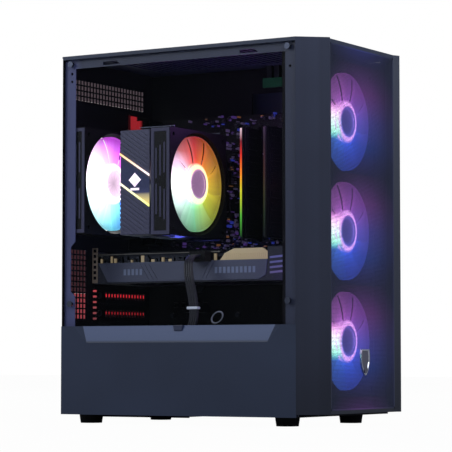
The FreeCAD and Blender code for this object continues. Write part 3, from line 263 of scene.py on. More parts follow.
def blend(tree, mode, factor, first, second):
    # mixes two colours; either may be a socket or a plain colour
    mix = addNode(tree, "ShaderNodeMix", data_type="RGBA", blend_type=mode)
    for slotIndex, value in ((0, factor), (6, first), (7, second)):
        if isinstance(value, bpy.types.NodeSocket):
            tree.links.new(value, mix.inputs[slotIndex])
        elif slotIndex == 0:
            mix.inputs[0].default_value = value
        else:
            mix.inputs[slotIndex].default_value = (*value, 1)
    return mix.outputs[2]


def mathOn(tree, operation, first, second=None):
    node = addNode(tree, "ShaderNodeMath", operation=operation)
    for slotIndex, value in enumerate((first, second)):
        if isinstance(value, bpy.types.NodeSocket):
            tree.links.new(value, node.inputs[slotIndex])
        elif value is not None:
            node.inputs[slotIndex].default_value = value
    return node.outputs[0]


def spanOn(tree, source, low, high):
    # 0 at the low value and 1 at the high one, held between
    span = addNode(tree, "ShaderNodeMapRange")
    span.inputs["From Min"].default_value = low
    span.inputs["From Max"].default_value = high
    tree.links.new(source, span.inputs["Value"])
    return span.outputs[0]


def coordsOn(tree, offset=(0, 0, 0)):
    place = addNode(tree, "ShaderNodeTexCoord")
    mapping = addNode(tree, "ShaderNodeMapping")
    mapping.inputs["Location"].default_value = [-value for value in offset]
    parts = addNode(tree, "ShaderNodeSeparateXYZ")
    tree.links.new(place.outputs["Object"], mapping.inputs["Vector"])
    tree.links.new(mapping.outputs["Vector"], parts.inputs["Vector"])
    return mapping.outputs["Vector"], parts.outputs


def shaderOf(material):
    return material.node_tree.nodes["Principled BSDF"]


def corners(nodeName):
    return [Vector(corner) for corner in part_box(nodeName)]


def feed(shader, source, *socketNames):
    for socketName in socketNames:
        shader.id_data.links.new(source, shader.inputs[socketName])


def light(shader, source, strength):
    # the glow is a socket or a plain colour
    if isinstance(source, bpy.types.NodeSocket):
        feed(shader, source, "Emission Color")
    else:
        shader.inputs["Emission Color"].default_value = (*source, 1)
    shader.inputs["Emission Strength"].default_value = strength


def times(tree, first, *others):
    for other in others:
        first = mathOn(tree, "MULTIPLY", first, other)
    return first


def filtered(tree, first, *others):
    # a colour multiplied by other colours
    for other in others:
        first = blend(tree, "MULTIPLY", 1.0, first, other)
    return first


def mixShaders(tree, factor, first, second, outputName):
    mix = addNode(tree, "ShaderNodeMixShader")
    for slotIndex, socket in enumerate((factor, first, second)):
        tree.links.new(socket, mix.inputs[slotIndex])
    tree.links.new(mix.outputs[0], tree.nodes[outputName].inputs["Surface"])


def readyToVary(material, offset=(0, 0, 0)):
    # what a finish needs for its tone to vary by place
    shader = shaderOf(material)
    place, axes = coordsOn(shader.id_data, offset)
    return material, shader.id_data, shader, axes, shader.inputs["Base Color"].links[0].from_socket


def grey(stops):
    return [(spot, (value, value, value)) for spot, value in stops]


def tinted(stops):
    return [(spot, srgb(*colour)) for spot, colour in stops]


def cover(nodeName, material):
    # gives a CAD node its finish
    slots = cadNodes[nodeName].data.materials
    if len(slots) == 0:
        slots.append(material)
    for index in range(len(slots)):
        slots[index] = material


def dress(piece, material, body, slotName, *replaced):
    piece.data.materials.clear()
    piece.data.materials.append(material)
    settle(piece, body, slotName, *replaced)


def dressAll(name, parts, material, slotName):
    dress(joinAll(name, parts), material, "chassis", slotName)


def settle(piece, body, slotName, *replaced):
    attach(piece, body)
    if replaced:
        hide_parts(*replaced)


# camera, floor and lights

studio = {
    "cameraPlace": (-2.0764, -1.2472, 0.0709), "heading": 58.80, "tilt": 3.55, "lens": 171.5,
    "ambient": 0.3, "ambientColour": (0.82, 0.9, 1.0),
    "floorSize": 12, "floorLevel": -0.0002, "floorShare": 0.975,
    "sheetDepths": (0.1632, 0.1628), "narrowSheet": 0.005,
    "softboxes": [
        ("keyBox", (-1.5, -1.7, 2.0), (0, 0, 0.4), 1.4, 24, (0.86, 0.93, 1.0)),
        ("frontBox", (0.3, -2.4, 0.9), (0, 0, 0.2), 1.2, 10, (0.85, 0.92, 1.0)),
        ("rimBox", (1.8, 1.4, 1.5), (0, 0, 0.2), 1.4, 20, (1.0, 0.97, 0.93)),
        ("bevelBox", (-1.7, 1.15, 1.25), (-0.1, 0, 0.1), 0.9, 16, (0.86, 0.92, 1.0)),
    ],
    # small lamps: place, size, power, colour
    "chamberGlow": [
        ("lowBlue", (-0.03, 0.06, 0.2045), 0.05, 0.05, (0.12, 0.14, 1.0)),
        ("highViolet", (0.0, -0.01, 0.345), 0.06, 0.05, (0.5, 0.15, 0.9)),
        ("memoryViolet", (0.0, -0.06, 0.3), 0.05, 0.03, (0.5, 0.2, 0.9)),
        ("cardViolet", (-0.07, -0.1, 0.16), 0.04, 0.02, (0.35, 0.15, 0.95)),
        ("roofViolet", (-0.05, 0.06, 0.375), 0.06, 0.008, (0.6, 0.1, 0.7)),
    ],
    # lit panels just behind the rear wall: low corner, high corner (X, Z), radiance, colour
    "rearGlow": [
        ("topRows", (-0.09, 0.3665), (0.07, 0.396), 0.075, (1.0, 0.72, 0.85)),
        ("topRowsLow", (-0.09, 0.35), (0.07, 0.3664), 0.13, (1.0, 0.35, 0.42)),
        ("sideRows", (-0.095, 0.146), (-0.056, 0.201), 0.05, (1.0, 0.35, 0.45)),
        ("sideRowsLow", (-0.095, 0.112), (-0.056, 0.1459), 0.3, (1.0, 0.16, 0.2)),
        ("coverRows", (-0.05, 0.112), (0.068, 0.16), 0.008, (1.0, 0.2, 0.25)),
        ("coverRowHigh", (-0.05, 0.1432), (0.068, 0.1468), 0.75, (1.0, 0.03, 0.05)),
        ("coverRowLow", (-0.05, 0.1232), (0.068, 0.1262), 0.4, (1.0, 0.03, 0.05)),
    ],
}


def addLamp(kind, name, place, power, colour):
    clearSelection()
    bpy.ops.object.light_add(type=kind, location=place)
    lamp = bpy.context.object
    lamp.name = name
    lamp.data.energy = power
    lamp.data.color = colour
    lamp.visible_camera = False
    return lamp


def makeStudio():
    clearSelection()
    bpy.ops.object.camera_add(location=studio["cameraPlace"])
    camera = bpy.context.object
    camera.name = "studioCamera"
    camera.rotation_euler = (math.radians(90 + studio["tilt"]), 0, -math.radians(studio["heading"]))
    camera.data.lens = studio["lens"]
    camera.data.sensor_width = 36
    bpy.context.scene.camera = camera
    bpy.context.scene.view_settings.view_transform = "Standard"

    world = bpy.data.worlds.new("studioWorld")
    bpy.context.scene.world = world
    world.use_nodes = True
    tree = world.node_tree
    background = tree.nodes["Background"]
    background.inputs["Color"].default_value = (*studio["ambientColour"], 1)
    background.inputs["Strength"].default_value = studio["ambient"]
    white = addNode(tree, "ShaderNodeBackground", Color=(1, 1, 1, 1), Strength=1.0)
    rays = addNode(tree, "ShaderNodeLightPath")
    mixShaders(tree, rays.outputs["Is Camera Ray"], background.outputs[0], white.outputs[0], "World Output")

    clearSelection()
    bpy.ops.mesh.primitive_plane_add(size=studio["floorSize"], location=(0, 0, studio["floorLevel"]))
    floor = bpy.context.object
    floor.name = "studioFloor"
    material, tree, shader = newMaterial("paleFloor", (0.5, 0.5, 0.52), 0.9)
    glow = addNode(tree, "ShaderNodeEmission", Color=(1, 1, 1, 1), Strength=1.0)
    rays = addNode(tree, "ShaderNodeLightPath")
    share = times(tree, rays.outputs["Is Camera Ray"], studio["floorShare"])
    mixShaders(tree, share, shader.outputs[0], glow.outputs[0], "Material Output")
    floor.data.materials.append(material)

    for name, place, aim, size, power, colour in studio["softboxes"]:
        lamp = addLamp("AREA", name, place, power, colour)
        lamp.data.size = size
        lamp.rotation_euler = (Vector(aim) - Vector(place)).to_track_quat("-Z", "Y").to_euler()
    for name, place, size, power, colour in studio["chamberGlow"]:
        lamp = addLamp("POINT", name, place, power, colour)
        lamp.data.shadow_soft_size = size / 4

    # thin lit sheets just outside the rear wall, clear from behind; a narrow one stands before a wide one
    for name, low, high, radiance, colour in studio["rearGlow"]:
        clearSelection()
        wide, tall = high[0] - low[0], high[1] - low[1]
        depth = studio["sheetDepths"][0 if tall > studio["narrowSheet"] else 1]
        spot = (low[0] + wide / 2, depth, low[1] + tall / 2)
        bpy.ops.mesh.primitive_plane_add(size=1, location=spot, rotation=(math.pi / 2, 0, 0))
        sheet = bpy.context.object
        sheet.name = name
        sheet.scale = (wide, tall, 1)
        applyPlace(sheet)
        material, tree, shader = newMaterial(name + "Light", (0, 0, 0), 1.0)
        glow = addNode(tree, "ShaderNodeEmission", Color=(*colour, 1), Strength=radiance)
        clear = addNode(tree, "ShaderNodeBsdfTransparent")
        side = addNode(tree, "ShaderNodeNewGeometry")
        mixShaders(tree, side.outputs["Backfacing"], glow.outputs[0], clear.outputs[0], "Material Output")
        sheet.data.materials.append(material)
        sheet.visible_diffuse = False
        sheet.visible_glossy = False
        sheet.visible_shadow = False


makeStudio()
print("studio ready")


# finishes of the CAD nodes

def portMetal(name):
    return brushedMetal(name, srgb(150, 152, 158), 0.35, (1, 1, 20), 300)


def plainCoat(name, colour):
    return coatedMetal(name, srgb(*colour), 0.4, 900, 0.06, 0.3)


# where the painted highlight on the frame's rear rail starts and ends, and its tone
frameRailHighlight = {"start": 0.139, "end": 0.147, "tone": (72, 76, 116)}


def frameMetal():
    # painted highlight: the rear rail is painted lighter than the rest of the frame
    material, tree, shader, axes, tone = readyToVary(plainCoat("frameSteel", (50, 55, 77)))
    share = spanOn(tree, axes["Y"], frameRailHighlight["start"], frameRailHighlight["end"])
    feed(shader, blend(tree, "MIX", share, tone, srgb(*frameRailHighlight["tone"])), "Base Color")
    return material


# the bevel's place and shape, and the tones of the highlight painted on it
coverBevel = {"middle": 0.01135, "halfLength": 0.11615, "start": 0.0895, "flare": 0.4216, "height": 0.0185,
              "side": (-0.10585, -0.1054), "edge": 0.0006, "lip": 0.0004,
              "tones": [(0.0, (60, 74, 108)), (1.0, (66, 79, 114))]}


def coverMetal():
    # painted highlight: the long face of the bevel is painted lighter than the rest of the cover, a little
    # more towards its top
    material, tree, shader, axes, tone = readyToVary(plainCoat("coverSteel", (40, 48, 68)))
    rise = mathOn(tree, "SUBTRACT", axes["Z"], coverBevel["start"])
    half = mathOn(tree, "ADD", times(tree, rise, coverBevel["flare"]), coverBevel["halfLength"])
    away = mathOn(tree, "ABSOLUTE", mathOn(tree, "SUBTRACT", axes["Y"], coverBevel["middle"]))
    inside = spanOn(tree, mathOn(tree, "SUBTRACT", half, away), 0.0, coverBevel["edge"])
    lip = spanOn(tree, rise, 0.0, coverBevel["lip"])
    sunk = times(tree, spanOn(tree, axes["X"], *coverBevel["side"]), lip)
    lit = rampOn(tree, spanOn(tree, rise, 0.0, coverBevel["height"]), tinted(coverBevel["tones"]))
    feed(shader, blend(tree, "MIX", times(tree, inside, sunk), tone, lit), "Base Color")
    return material


# upright bands, and the painted light and shade from bottom to top
bezelBandsAndShading = {"bands": [(0.3, 0.85), (0.7, 1.22)], "top": 0.412,
              "rise": [(0.0, 0.42), (0.35, 0.8), (0.7, 1.0), (1.0, 1.35)]}


def bezelMetal():
    # faint upright bands, and painted light: lighter towards the top, with painted shade towards the bottom
    material, tree, shader, axes, tone = readyToVary(plainCoat("bezelCoat", (46, 50, 68)))
    bands = rampOn(tree, noiseOn(tree, 55, 2.0, (1, 1, 0.004)), grey(bezelBandsAndShading["bands"]))
    rise = rampOn(tree, spanOn(tree, axes["Z"], 0.0, bezelBandsAndShading["top"]), grey(bezelBandsAndShading["rise"]))
    feed(shader, filtered(tree, tone, bands, rise), "Base Color")
    return material


coats = {
    # maker, colour, roughness and what else the maker takes
    "innerSteel": (coatedMetal, (13, 11, 18), 0.5, 700, 0.05, 0.08),
    "darkPlastic": (mouldedPlastic, (17, 17, 21), 0.5, 800, 0.06, 0.15),
    "footRubber": (mouldedPlastic, (26, 27, 30), 0.8, 900, 0.3, 0.15),
    "blackScrew": (brushedMetal, (74, 78, 92), 0.35, (1, 1, 1), 900),
    "zincScrew": (brushedMetal, (170, 170, 175), 0.3, (1, 1, 1), 900),
    "brightFins": (brushedMetal, (175, 178, 184), 0.28),
    "darkFins": (brushedMetal, (52, 54, 62), 0.35),
    "copperPipe": (brushedMetal, (196, 140, 110), 0.25, (30, 1, 1), 300),
    "driveMetal": (brushedMetal, (140, 142, 146), 0.45, (1, 1, 1), 700),
    "supplyCoat": (coatedMetal, (22, 22, 25), 0.6, 1100, 0.5, 0.2),
    "tanParts": (mouldedPlastic, (120, 96, 50), 0.6),
    "greenBoard": (mouldedPlastic, (18, 92, 48), 0.35),
    "sleeve": (mouldedPlastic, (18, 18, 22), 0.75, 1500, 0.6, 0.2),
}
finishes = {
    "coverSteel": coverMetal(),
    "bezelCoat": bezelMetal(),
    "caseSteel": plainCoat("caseSteel", (40, 48, 68)),
    "frameSteel": frameMetal(),
    "portMetal": portMetal("portMetal"),
    "cardShell": satinCoat("cardShell", (38, 40, 52), 0.45, 0.25),
}
for coatName, (maker, colour, *rest) in coats.items():
    finishes[coatName] = maker(coatName, srgb(*colour), *rest)

finishNodes = {
    "footRubber": "feet",
    "innerSteel": "base_pan rear_panel front_fan_plate motherboard_tray psu_shroud slot_covers "
        "drive_cage",
    "frameSteel": "window_frame",
    "coverSteel": "lower_side_cover",
    "caseSteel": "top_panel right_side_panel",
    "darkPlastic": "top_filter case_fan_frames motherboard board_parts memory_modules cooler_cover "
        "cooler_fan_frame card_board card_fan_rotor_1 card_fan_rotor_2 psu_fan_rotor "
        "psu_inlet power_switch drive_caddy power_button reset_button bottom_filter",
    "blackScrew": "panel_thumbscrews glass_screws cooler_fan_clips",
    "bezelCoat": "front_bezel",
    "brightFins": "front_badge cooler_base cooler_fins",
    "portMetal": "rear_ports",
    "darkFins": "board_heatsinks card_heatsink chassis_screws front_io_ports",
    "copperPipe": "cooler_heat_pipes",
    "cardShell": "card_shroud",
    "zincScrew": "card_bracket",
    "supplyCoat": "psu_case",
    "tanParts": "psu_circuit",
    "driveMetal": "hard_drive",
    "greenBoard": "front_io_board",
    "sleeve": "card_power_cable board_power_cable front_io_cable",
}
for finishName, nodeNames in finishNodes.items():
    for nodeName in nodeNames.split():
        cover(nodeName, finishes[finishName])


def makeGlass():
    material, tree, shader = newMaterial("clearGlass", (0.02, 0.025, 0.03), 0.03)
    shader.inputs["Alpha"].default_value = 0.035
    shader.inputs["IOR"].default_value = 1.45
    smudge = noiseOn(tree, 14, 2.0)
    feed(shader, rampOn(tree, smudge, grey([(0.35, 0.02), (0.75, 0.06)])), "Roughness")
    cover("side_glass", material)


makeGlass()
print("finishes ready")


# lit fans

fanLooks = {
    # turn: share of a full turn from the right-hand side upwards; reach: share of 60 mm outwards
    "front": {"turn": [(0.0, (95, 70, 190)), (0.12, (140, 75, 190)), (0.25, (165, 85, 190)),
                       (0.42, (190, 110, 210)), (0.5, (120, 190, 220)), (0.6, (70, 130, 240)),
                       (0.75, (55, 95, 240)), (0.9, (60, 85, 235)), (1.0, (95, 70, 190))],
              "reach": [(0.0, 0.22), (0.2, 0.3), (0.29, 1.0), (0.34, 1.0), (0.42, 0.62), (0.6, 0.36),
                        (0.88, 0.2)],
              "hub": (90, 80, 175), "ring": (235, 170, 245), "patch": ((0.012, 0.021), (-0.02, -0.004)),
              "patchHue": [(0.05, (60, 225, 170)), (0.3, (190, 255, 235)), (0.6, (255, 245, 255)),
                           (0.85, (250, 160, 240)), (1.0, (190, 90, 210))]},
    "rear": {"turn": [(0.0, (215, 110, 250)), (0.15, (200, 80, 230)), (0.3, (205, 80, 225)),
                      (0.42, (240, 200, 255)), (0.5, (250, 250, 255)), (0.62, (190, 250, 250)),
                      (0.75, (120, 225, 250)), (0.88, (70, 120, 250)), (1.0, (215, 110, 250))],
             "reach": [(0.0, 0.3), (0.24, 0.55), (0.3, 1.0), (0.5, 1.0), (0.7, 0.6), (0.88, 0.34)],
             "hub": (250, 215, 245), "ring": (255, 245, 255), "patch": ((0.016, 0.05), (-0.03, 0.02)),
             "patchHue": [(0.0, (200, 250, 255)), (0.5, (255, 255, 255)), (1.0, (250, 215, 255))]},
    "cooler": {"turn": [(0.0, (215, 180, 50)), (0.13, (225, 130, 40)), (0.25, (220, 60, 50)),
                        (0.36, (240, 130, 130)), (0.48, (250, 215, 250)), (0.6, (205, 245, 235)),
                        (0.74, (140, 225, 165)), (0.88, (185, 200, 60)), (1.0, (215, 180, 50))],
               "reach": [(0.0, 0.3), (0.24, 0.34), (0.29, 1.0), (0.36, 1.0), (0.5, 0.62), (0.75, 0.4),
                         (0.88, 0.26)],
               "hub": (190, 140, 190), "ring": (255, 250, 190), "patch": ((0.008, 0.036), (-0.03, -0.006)),
               "patchHue": [(0.1, (225, 255, 240)), (0.5, (255, 255, 255)), (0.9, (250, 215, 250))]},
}


fanRamps = {
    # shares of the tip circle, and the height over which the patch changes colour
    "tip": 0.06, "hub": [(0.0, 1), (0.26, 1), (0.3, 0)],
    "ring": [(0.27, 0), (0.3, 0.85), (0.34, 0.85), (0.4, 0)],
    "outer": [(0.3, 0), (0.36, 1)], "streaks": [(0.3, 0.82), (0.7, 1.0)], "patchHalf": 0.024,
}


def litPlastic(name, centre, look, strength):
    # the colour turns with the angle about the shaft, the brightness follows the radius, and a soft
    # patch beside the hub is lighter
    material, tree, shader = newMaterial(name, (0.05, 0.05, 0.06), 0.4)
    shader.inputs["Specular IOR Level"].default_value = 0.2
    place, axes = coordsOn(tree, centre)
    angle = mathOn(tree, "ARCTAN2", axes["Z"], axes["X"])
    share = mathOn(tree, "FRACT", mathOn(tree, "DIVIDE", angle, 2 * math.pi))
    hue = rampOn(tree, share, tinted(look["turn"]))
    flat = addNode(tree, "ShaderNodeVectorMath", operation="MULTIPLY")
    flat.inputs[1].default_value = (1, 0, 1)
    tree.links.new(place, flat.inputs[0])
    size = addNode(tree, "ShaderNodeVectorMath", operation="LENGTH")
    tree.links.new(flat.outputs[0], size.inputs[0])
    reach = mathOn(tree, "DIVIDE", size.outputs["Value"], fanRamps["tip"])

    def along(stops):
        return rampOn(tree, reach, grey(stops))

    hue = blend(tree, "MIX", along(fanRamps["hub"]), hue, srgb(*look["hub"]))
    hue = blend(tree, "MIX", along(fanRamps["ring"]), hue, srgb(*look["ring"]))
    patchZ, patchX = look["patch"]
    away = spanOn(tree, mathOn(tree, "ABSOLUTE", axes["Z"]), *patchZ)
    beside = spanOn(tree, axes["X"], patchX[1], patchX[0])
    near = rampOn(tree, away, grey([(0.0, 1), (1.0, 0)]))
    patchShare = filtered(tree, near, beside, along(fanRamps["outer"]))
    half = fanRamps["patchHalf"]
    patchHue = rampOn(tree, spanOn(tree, axes["Z"], -half, half), tinted(look["patchHue"]))
    glow = blend(tree, "MIX", patchShare, filtered(tree, hue, along(look["reach"])), patchHue)
    rays = noiseOn(tree, 26, 2.0, (0, 0, 0))
    rays.node.noise_dimensions = "1D"
    tree.links.new(share, rays.node.inputs["W"])
    light(shader, filtered(tree, glow, rampOn(tree, rays, grey(fanRamps["streaks"]))), strength)
    return material


bladeSizes = {"thickness": 0.0009, "sweep": 10, "pitchRoot": 9, "pitchTip": 5, "cover": 1.06,
              "ringDepth": 0.004, "ringWall": 0.0009}


def fanBlade(name, low, high, root, tip, count):
    # a grid swept and twisted about the shaft, which runs along Z here
    clearSelection()
    bpy.ops.mesh.primitive_grid_add(x_subdivisions=8, y_subdivisions=6, size=1)
    blade = bpy.context.object
    blade.name = name
    middle = (low + high) / 2
    depth = (high - low) / 2
    for vertex in blade.data.vertices:
        along = vertex.co.x + 0.5
        across = vertex.co.y
        radius = root + (tip - root) * along
        twist = (bladeSizes["pitchTip"] - bladeSizes["pitchRoot"]) * along
        pitch = math.radians(bladeSizes["pitchRoot"] + twist)
        chord = bladeSizes["cover"] * 2 * math.pi * radius / count / math.cos(pitch)
        lead = math.radians(bladeSizes["sweep"]) * along * along
        angle = lead + across * chord * math.cos(pitch) / radius
        rise = across * chord * math.sin(pitch) - 0.08 * chord * math.cos(math.pi * across)
        rise = max(-depth, min(depth, rise))
        vertex.co = (radius * math.cos(angle), radius * math.sin(angle), middle + rise)
    useModifier(blade, "SOLIDIFY", thickness=bladeSizes["thickness"], offset=0)
    return blade


def tipRing(name, radius, level):
    # joins the blade tips
    clearSelection()
    bpy.ops.mesh.primitive_cylinder_add(vertices=96, radius=radius, depth=bladeSizes["ringDepth"],
                                        end_fill_type="NOTHING", location=(0, 0, level))
    ring = bpy.context.object
    ring.name = name
    applyPlace(ring)
    useModifier(ring, "SOLIDIFY", thickness=bladeSizes["ringWall"], offset=-1)
    return ring


def fanRotor(name, nodeName, axis, facing, hubRadius, tipRadius, count, ringed=False):
    # built on Z about the origin, then turned onto the CAD rotor's own box
    low, high = corners(nodeName)
    middle = (low + high) / 2
    axisIndex = "XYZ".index(axis)
    thick = high[axisIndex] - low[axisIndex]
    bodyDepth = thick - 0.004
    hub = addRound(name + "Hub", (0, 0, 0.002), hubRadius, bodyDepth, "Z", 64)
    roundEdges(hub, 0.0018, 3)
    insetFaces(hub, lambda spot, normal: normal.z > 0.9 and spot.z > 0, (0.0042, 0), (0.0006, -0.0009))
    bladeTop = 0.002 + bodyDepth / 2 - 0.0012
    bladeLow = bladeTop - 0.005 if ringed else 0.002 - bodyDepth / 2 + 0.0015
    blade = fanBlade(name + "Blade", bladeLow, bladeTop, hubRadius - 0.0006, tipRadius, count)
    blades = [blade]
    if ringed:
        blades.append(tipRing(name + "Ring", tipRadius, (bladeLow + bladeTop) / 2))
    for index in range(1, count):
        turn = Matrix.Rotation(2 * math.pi * index / count, 4, "Z")
        blades.append(copyTurned(blade, turn))
    rotor = joinAll(name, [hub] + blades)
    turns = {("Y", -1): Matrix.Rotation(math.radians(90), 4, "X"),
             ("Z", -1): Matrix.Rotation(math.radians(180), 4, "X")}
    rotor.data.transform(turns[(axis, facing)])
    rotor.data.transform(Matrix.Translation(middle))
    smooth(rotor, 40)
    return rotor


hubAxis = {}
for joint in frame["joints"]:
    if joint.get("continuous"):
        hubAxis[joint["child"]] = joint["pos_m"]

litFans = {
    "front_fan_1": ("front_fan_rotor_1", "front_fan_light", "front"),
    "front_fan_2": ("front_fan_rotor_2", "front_fan_light", "front"),
    "front_fan_3": ("front_fan_rotor_3", "front_fan_light", "front"),
    "rear_fan": ("rear_fan_rotor", "rear_fan_light", "rear"),
    "cooler_fan": ("cooler_fan_rotor", "cooler_fan_light", "cooler"),
}
glowStrength = {"front": 3.4, "rear": 2.6, "cooler": 1.9}

for bodyName, (nodeName, slotName, hue) in litFans.items():
    pieceName = "".join(word.title() for word in bodyName.split("_"))
    rotor = fanRotor("lit" + pieceName, nodeName, "Y", -1, 0.019, 0.0538, 9, True)
    material = litPlastic("glow" + pieceName, hubAxis[bodyName], fanLooks[hue], glowStrength[hue])
    dress(rotor, material, bodyName, slotName, nodeName)

for bodyName, nodeName in (("card_fan_1", "card_fan_rotor_1"), ("card_fan_2", "card_fan_rotor_2")):
    rotor = fanRotor(bodyName.replace("_", "") + "Blades", nodeName, "Z", -1, 0.017, 0.0435, 11)
    dress(rotor, finishes["darkPlastic"], bodyName, "plain_fan", nodeName)
rotor = fanRotor("supplyFanBlades", "psu_fan_rotor", "Z", -1, 0.019, 0.0535, 7)
dress(rotor, finishes["darkPlastic"], "supply_fan", "plain_fan", "psu_fan_rotor")
print("fans ready")


# front mesh

meshSizes = {"pitch": 0.0014, "bar": 0.00042, "rim": 0.0016, "depth": 0.0002}
meshGlow = {"shift": 0.004, "reach": 0.085, "half": 0.06, "strength": 0.9,
            "fall": [(0.0, 1), (0.35, 0.55), (0.7, 0.16), (1.0, 0)],
            "hue": [(0.0, (60, 40, 120)), (0.25, (30, 60, 150)), (0.5, (70, 60, 150)),
                    (0.75, (120, 55, 140)), (1.0, (90, 45, 120))]}


def meshCoat():
    # the fans' light on the sheet repeats with the fans
    heights = [hubAxis[f"front_fan_{index}"][2] for index in (1, 2, 3)]
    gap = heights[0] - heights[1]
    offset = (hubAxis["front_fan_1"][0] - meshGlow["shift"], 0, heights[2] - gap / 2)
    coat = satinCoat("meshCoat", (58, 62, 86), 0.5, 0.3)
    material, tree, shader, axes, tone = readyToVary(coat, offset)
    turn = mathOn(tree, "FRACT", mathOn(tree, "DIVIDE", axes["Z"], gap))
    high = times(tree, mathOn(tree, "SUBTRACT", turn, 0.5), gap)
    squares = [mathOn(tree, "POWER", mathOn(tree, "ABSOLUTE", side), 2.0) for side in (high, axes["X"])]
    away = mathOn(tree, "SQRT", mathOn(tree, "ADD", *squares))
    fall = rampOn(tree, spanOn(tree, away, 0.0, meshGlow["reach"]), grey(meshGlow["fall"]))
    hue = rampOn(tree, spanOn(tree, high, -meshGlow["half"], meshGlow["half"]), tinted(meshGlow["hue"]))
    light(shader, filtered(tree, hue, fall), meshGlow["strength"])
    return material


def repeat(obj, count, step):
    return useModifier(obj, "ARRAY", count=count, use_relative_offset=False, use_constant_offset=True,
                       constant_offset_displace=step)


def makeMesh():
    low, high = corners("front_mesh")
    pitch, bar, rim, depth = [meshSizes[key] for key in ("pitch", "bar", "rim", "depth")]
    post = addBlock("meshPost", low, (low.x + bar, low.y + depth, high.z))
    rail = addBlock("meshRail", (low.x, low.y + depth, low.z), (high.x, low.y + 2 * depth, low.z + bar))
    bars = [repeat(post, int((high.x - low.x) / pitch), (pitch, 0, 0)),
            repeat(rail, int((high.z - low.z) / pitch), (0, 0, pitch))]
    for name, start, end in (("Left", (low.x, low.z), (low.x + rim, high.z)),
                             ("Right", (high.x - rim, low.z), (high.x, high.z)),
                             ("Low", (low.x, low.z), (high.x, low.z + rim)),
                             ("High", (low.x, high.z - rim), (high.x, high.z))):
        bars.append(addBlock("meshRim" + name, (start[0], low.y, start[1]), (end[0], high.y, end[1])))
    dress(joinAll("frontMeshWeave", bars), meshCoat(), "front_panel", "mesh_steel", "front_mesh")


makeMesh()
print("front mesh ready")


# memory light bars

memorySizes = {"bar": 0.0024, "bevel": 0.0008, "fins": 9, "half": 0.0036, "spine": (0.0026, 0.0012),
               "rib": 0.004, "ribHalf": 0.0042, "tongue": 0.0006, "glow": (1.2, 0.03),
               "colours": [(0.0, (8, 40, 15)), (0.2, (70, 165, 50)), (0.42, (200, 200, 30)),
                           (0.58, (245, 130, 25)), (0.75, (215, 40, 20)), (0.88, (110, 10, 10)),
                           (1.0, (220, 190, 200))]}


def heightGlow(name, low, high, stops, strength):
    # a diffuser whose colour changes with height
    material, tree, shader = newMaterial(name, (0.1, 0.1, 0.1), 0.4)
    place, axes = coordsOn(tree)
    light(shader, rampOn(tree, spanOn(tree, axes["Z"], low, high), tinted(stops)), strength)
    return material


def makeMemory():
    size = memorySizes
    low, high = corners("memory_light_bars")
    bodyLow, bodyHigh = corners("memory_modules")
    shift = (bodyHigh.y - bodyLow.y) / 2 - size["half"]
    bodies = []
    for index, side in enumerate((1, -1)):
        middle = (low.y + high.y) / 2 + side * shift
        bar = addBlock(f"memoryBar{index}", (low.x, middle - size["bar"] / 2, low.z),
                       (high.x, middle + size["bar"] / 2, high.z))
        roundEdges(bar, size["bevel"], 2)
        glow = heightGlow(f"memoryGlow{index}", low.z, high.z, size["colours"], size["glow"][index])
        shaderOf(glow).inputs["Base Color"].default_value = (0.01, 0.01, 0.012, 1)
        dress(bar, glow, "chassis", "memory_light", *["memory_light_bars"][index:])
        shell = addBlock(f"memoryShell{index}", (bodyLow.x, middle - size["half"], bodyLow.z),
                         (bodyHigh.x - 0.005, middle + size["half"], bodyHigh.z))
        bodies.append(roundEdges(shell, 0.0006, 2))
        bodies.append(addBlock("memorySpine", (low.x + 0.0008, middle - size["spine"][0], low.z - 0.0004),
                               (bodyLow.x + 0.001, middle - size["spine"][1], high.z + 0.0004)))
        for row in range(size["fins"]):
            level = bodyLow.z + (row + 0.5) * (bodyHigh.z - bodyLow.z) / size["fins"]
            rib = addBlock("memoryRib", (bodyLow.x + 0.004, middle - size["ribHalf"], level - size["rib"]),
                           (bodyHigh.x - 0.008, middle + size["ribHalf"], level + size["rib"]))
            bodies.append(roundEdges(rib, 0.0005, 1))
        bodies.append(addBlock("memoryTongue", (bodyHigh.x - 0.006, middle - size["tongue"], bodyLow.z),
                               (bodyHigh.x, middle + size["tongue"], bodyHigh.z)))
    pair = joinAll("memoryPair", bodies)
    dress(pair, finishes["darkPlastic"], "chassis", "memory_metal", "memory_modules")


makeMemory()
print("memory ready")


# cooler cover

coverSizes = {"base": 0.0032, "pitch": 0.0052, "rib": 0.003, "fall": 0.0255, "windowRear": (0.2665, 0.2965),
              "paneChange": (0.247, 0.262),
              "paneTones": [(0.0, (205, 185, 120)), (0.45, (150, 138, 110)), (0.62, (50, 54, 84)),
                            (1.0, (40, 44, 70))],
              # width, height and level of the diamond and its bar
              "marks": ((0.0115, 0.0115, 0.2705), (0.0115, 0.0026, 0.2602)),
              "stripTones": [(0.0, (235, 245, 120)), (0.35, (255, 250, 200)), (0.6, (255, 230, 235)),
                             (1.0, (255, 200, 120))]}


def shearDown(obj, frontY, rearY, fall):
    # slides each point down in step with its distance from the rear edge
    for vertex in obj.data.vertices:
        vertex.co.z -= fall * (rearY - vertex.co.y) / (rearY - frontY)


def trimFlat(obj, height, keepBelow):
    editAll(obj)
    bpy.ops.mesh.bisect(plane_co=(0, 0, height), plane_no=(0, 0, 1), use_fill=True,
                        clear_outer=keepBelow, clear_inner=not keepBelow)
    endEdit()


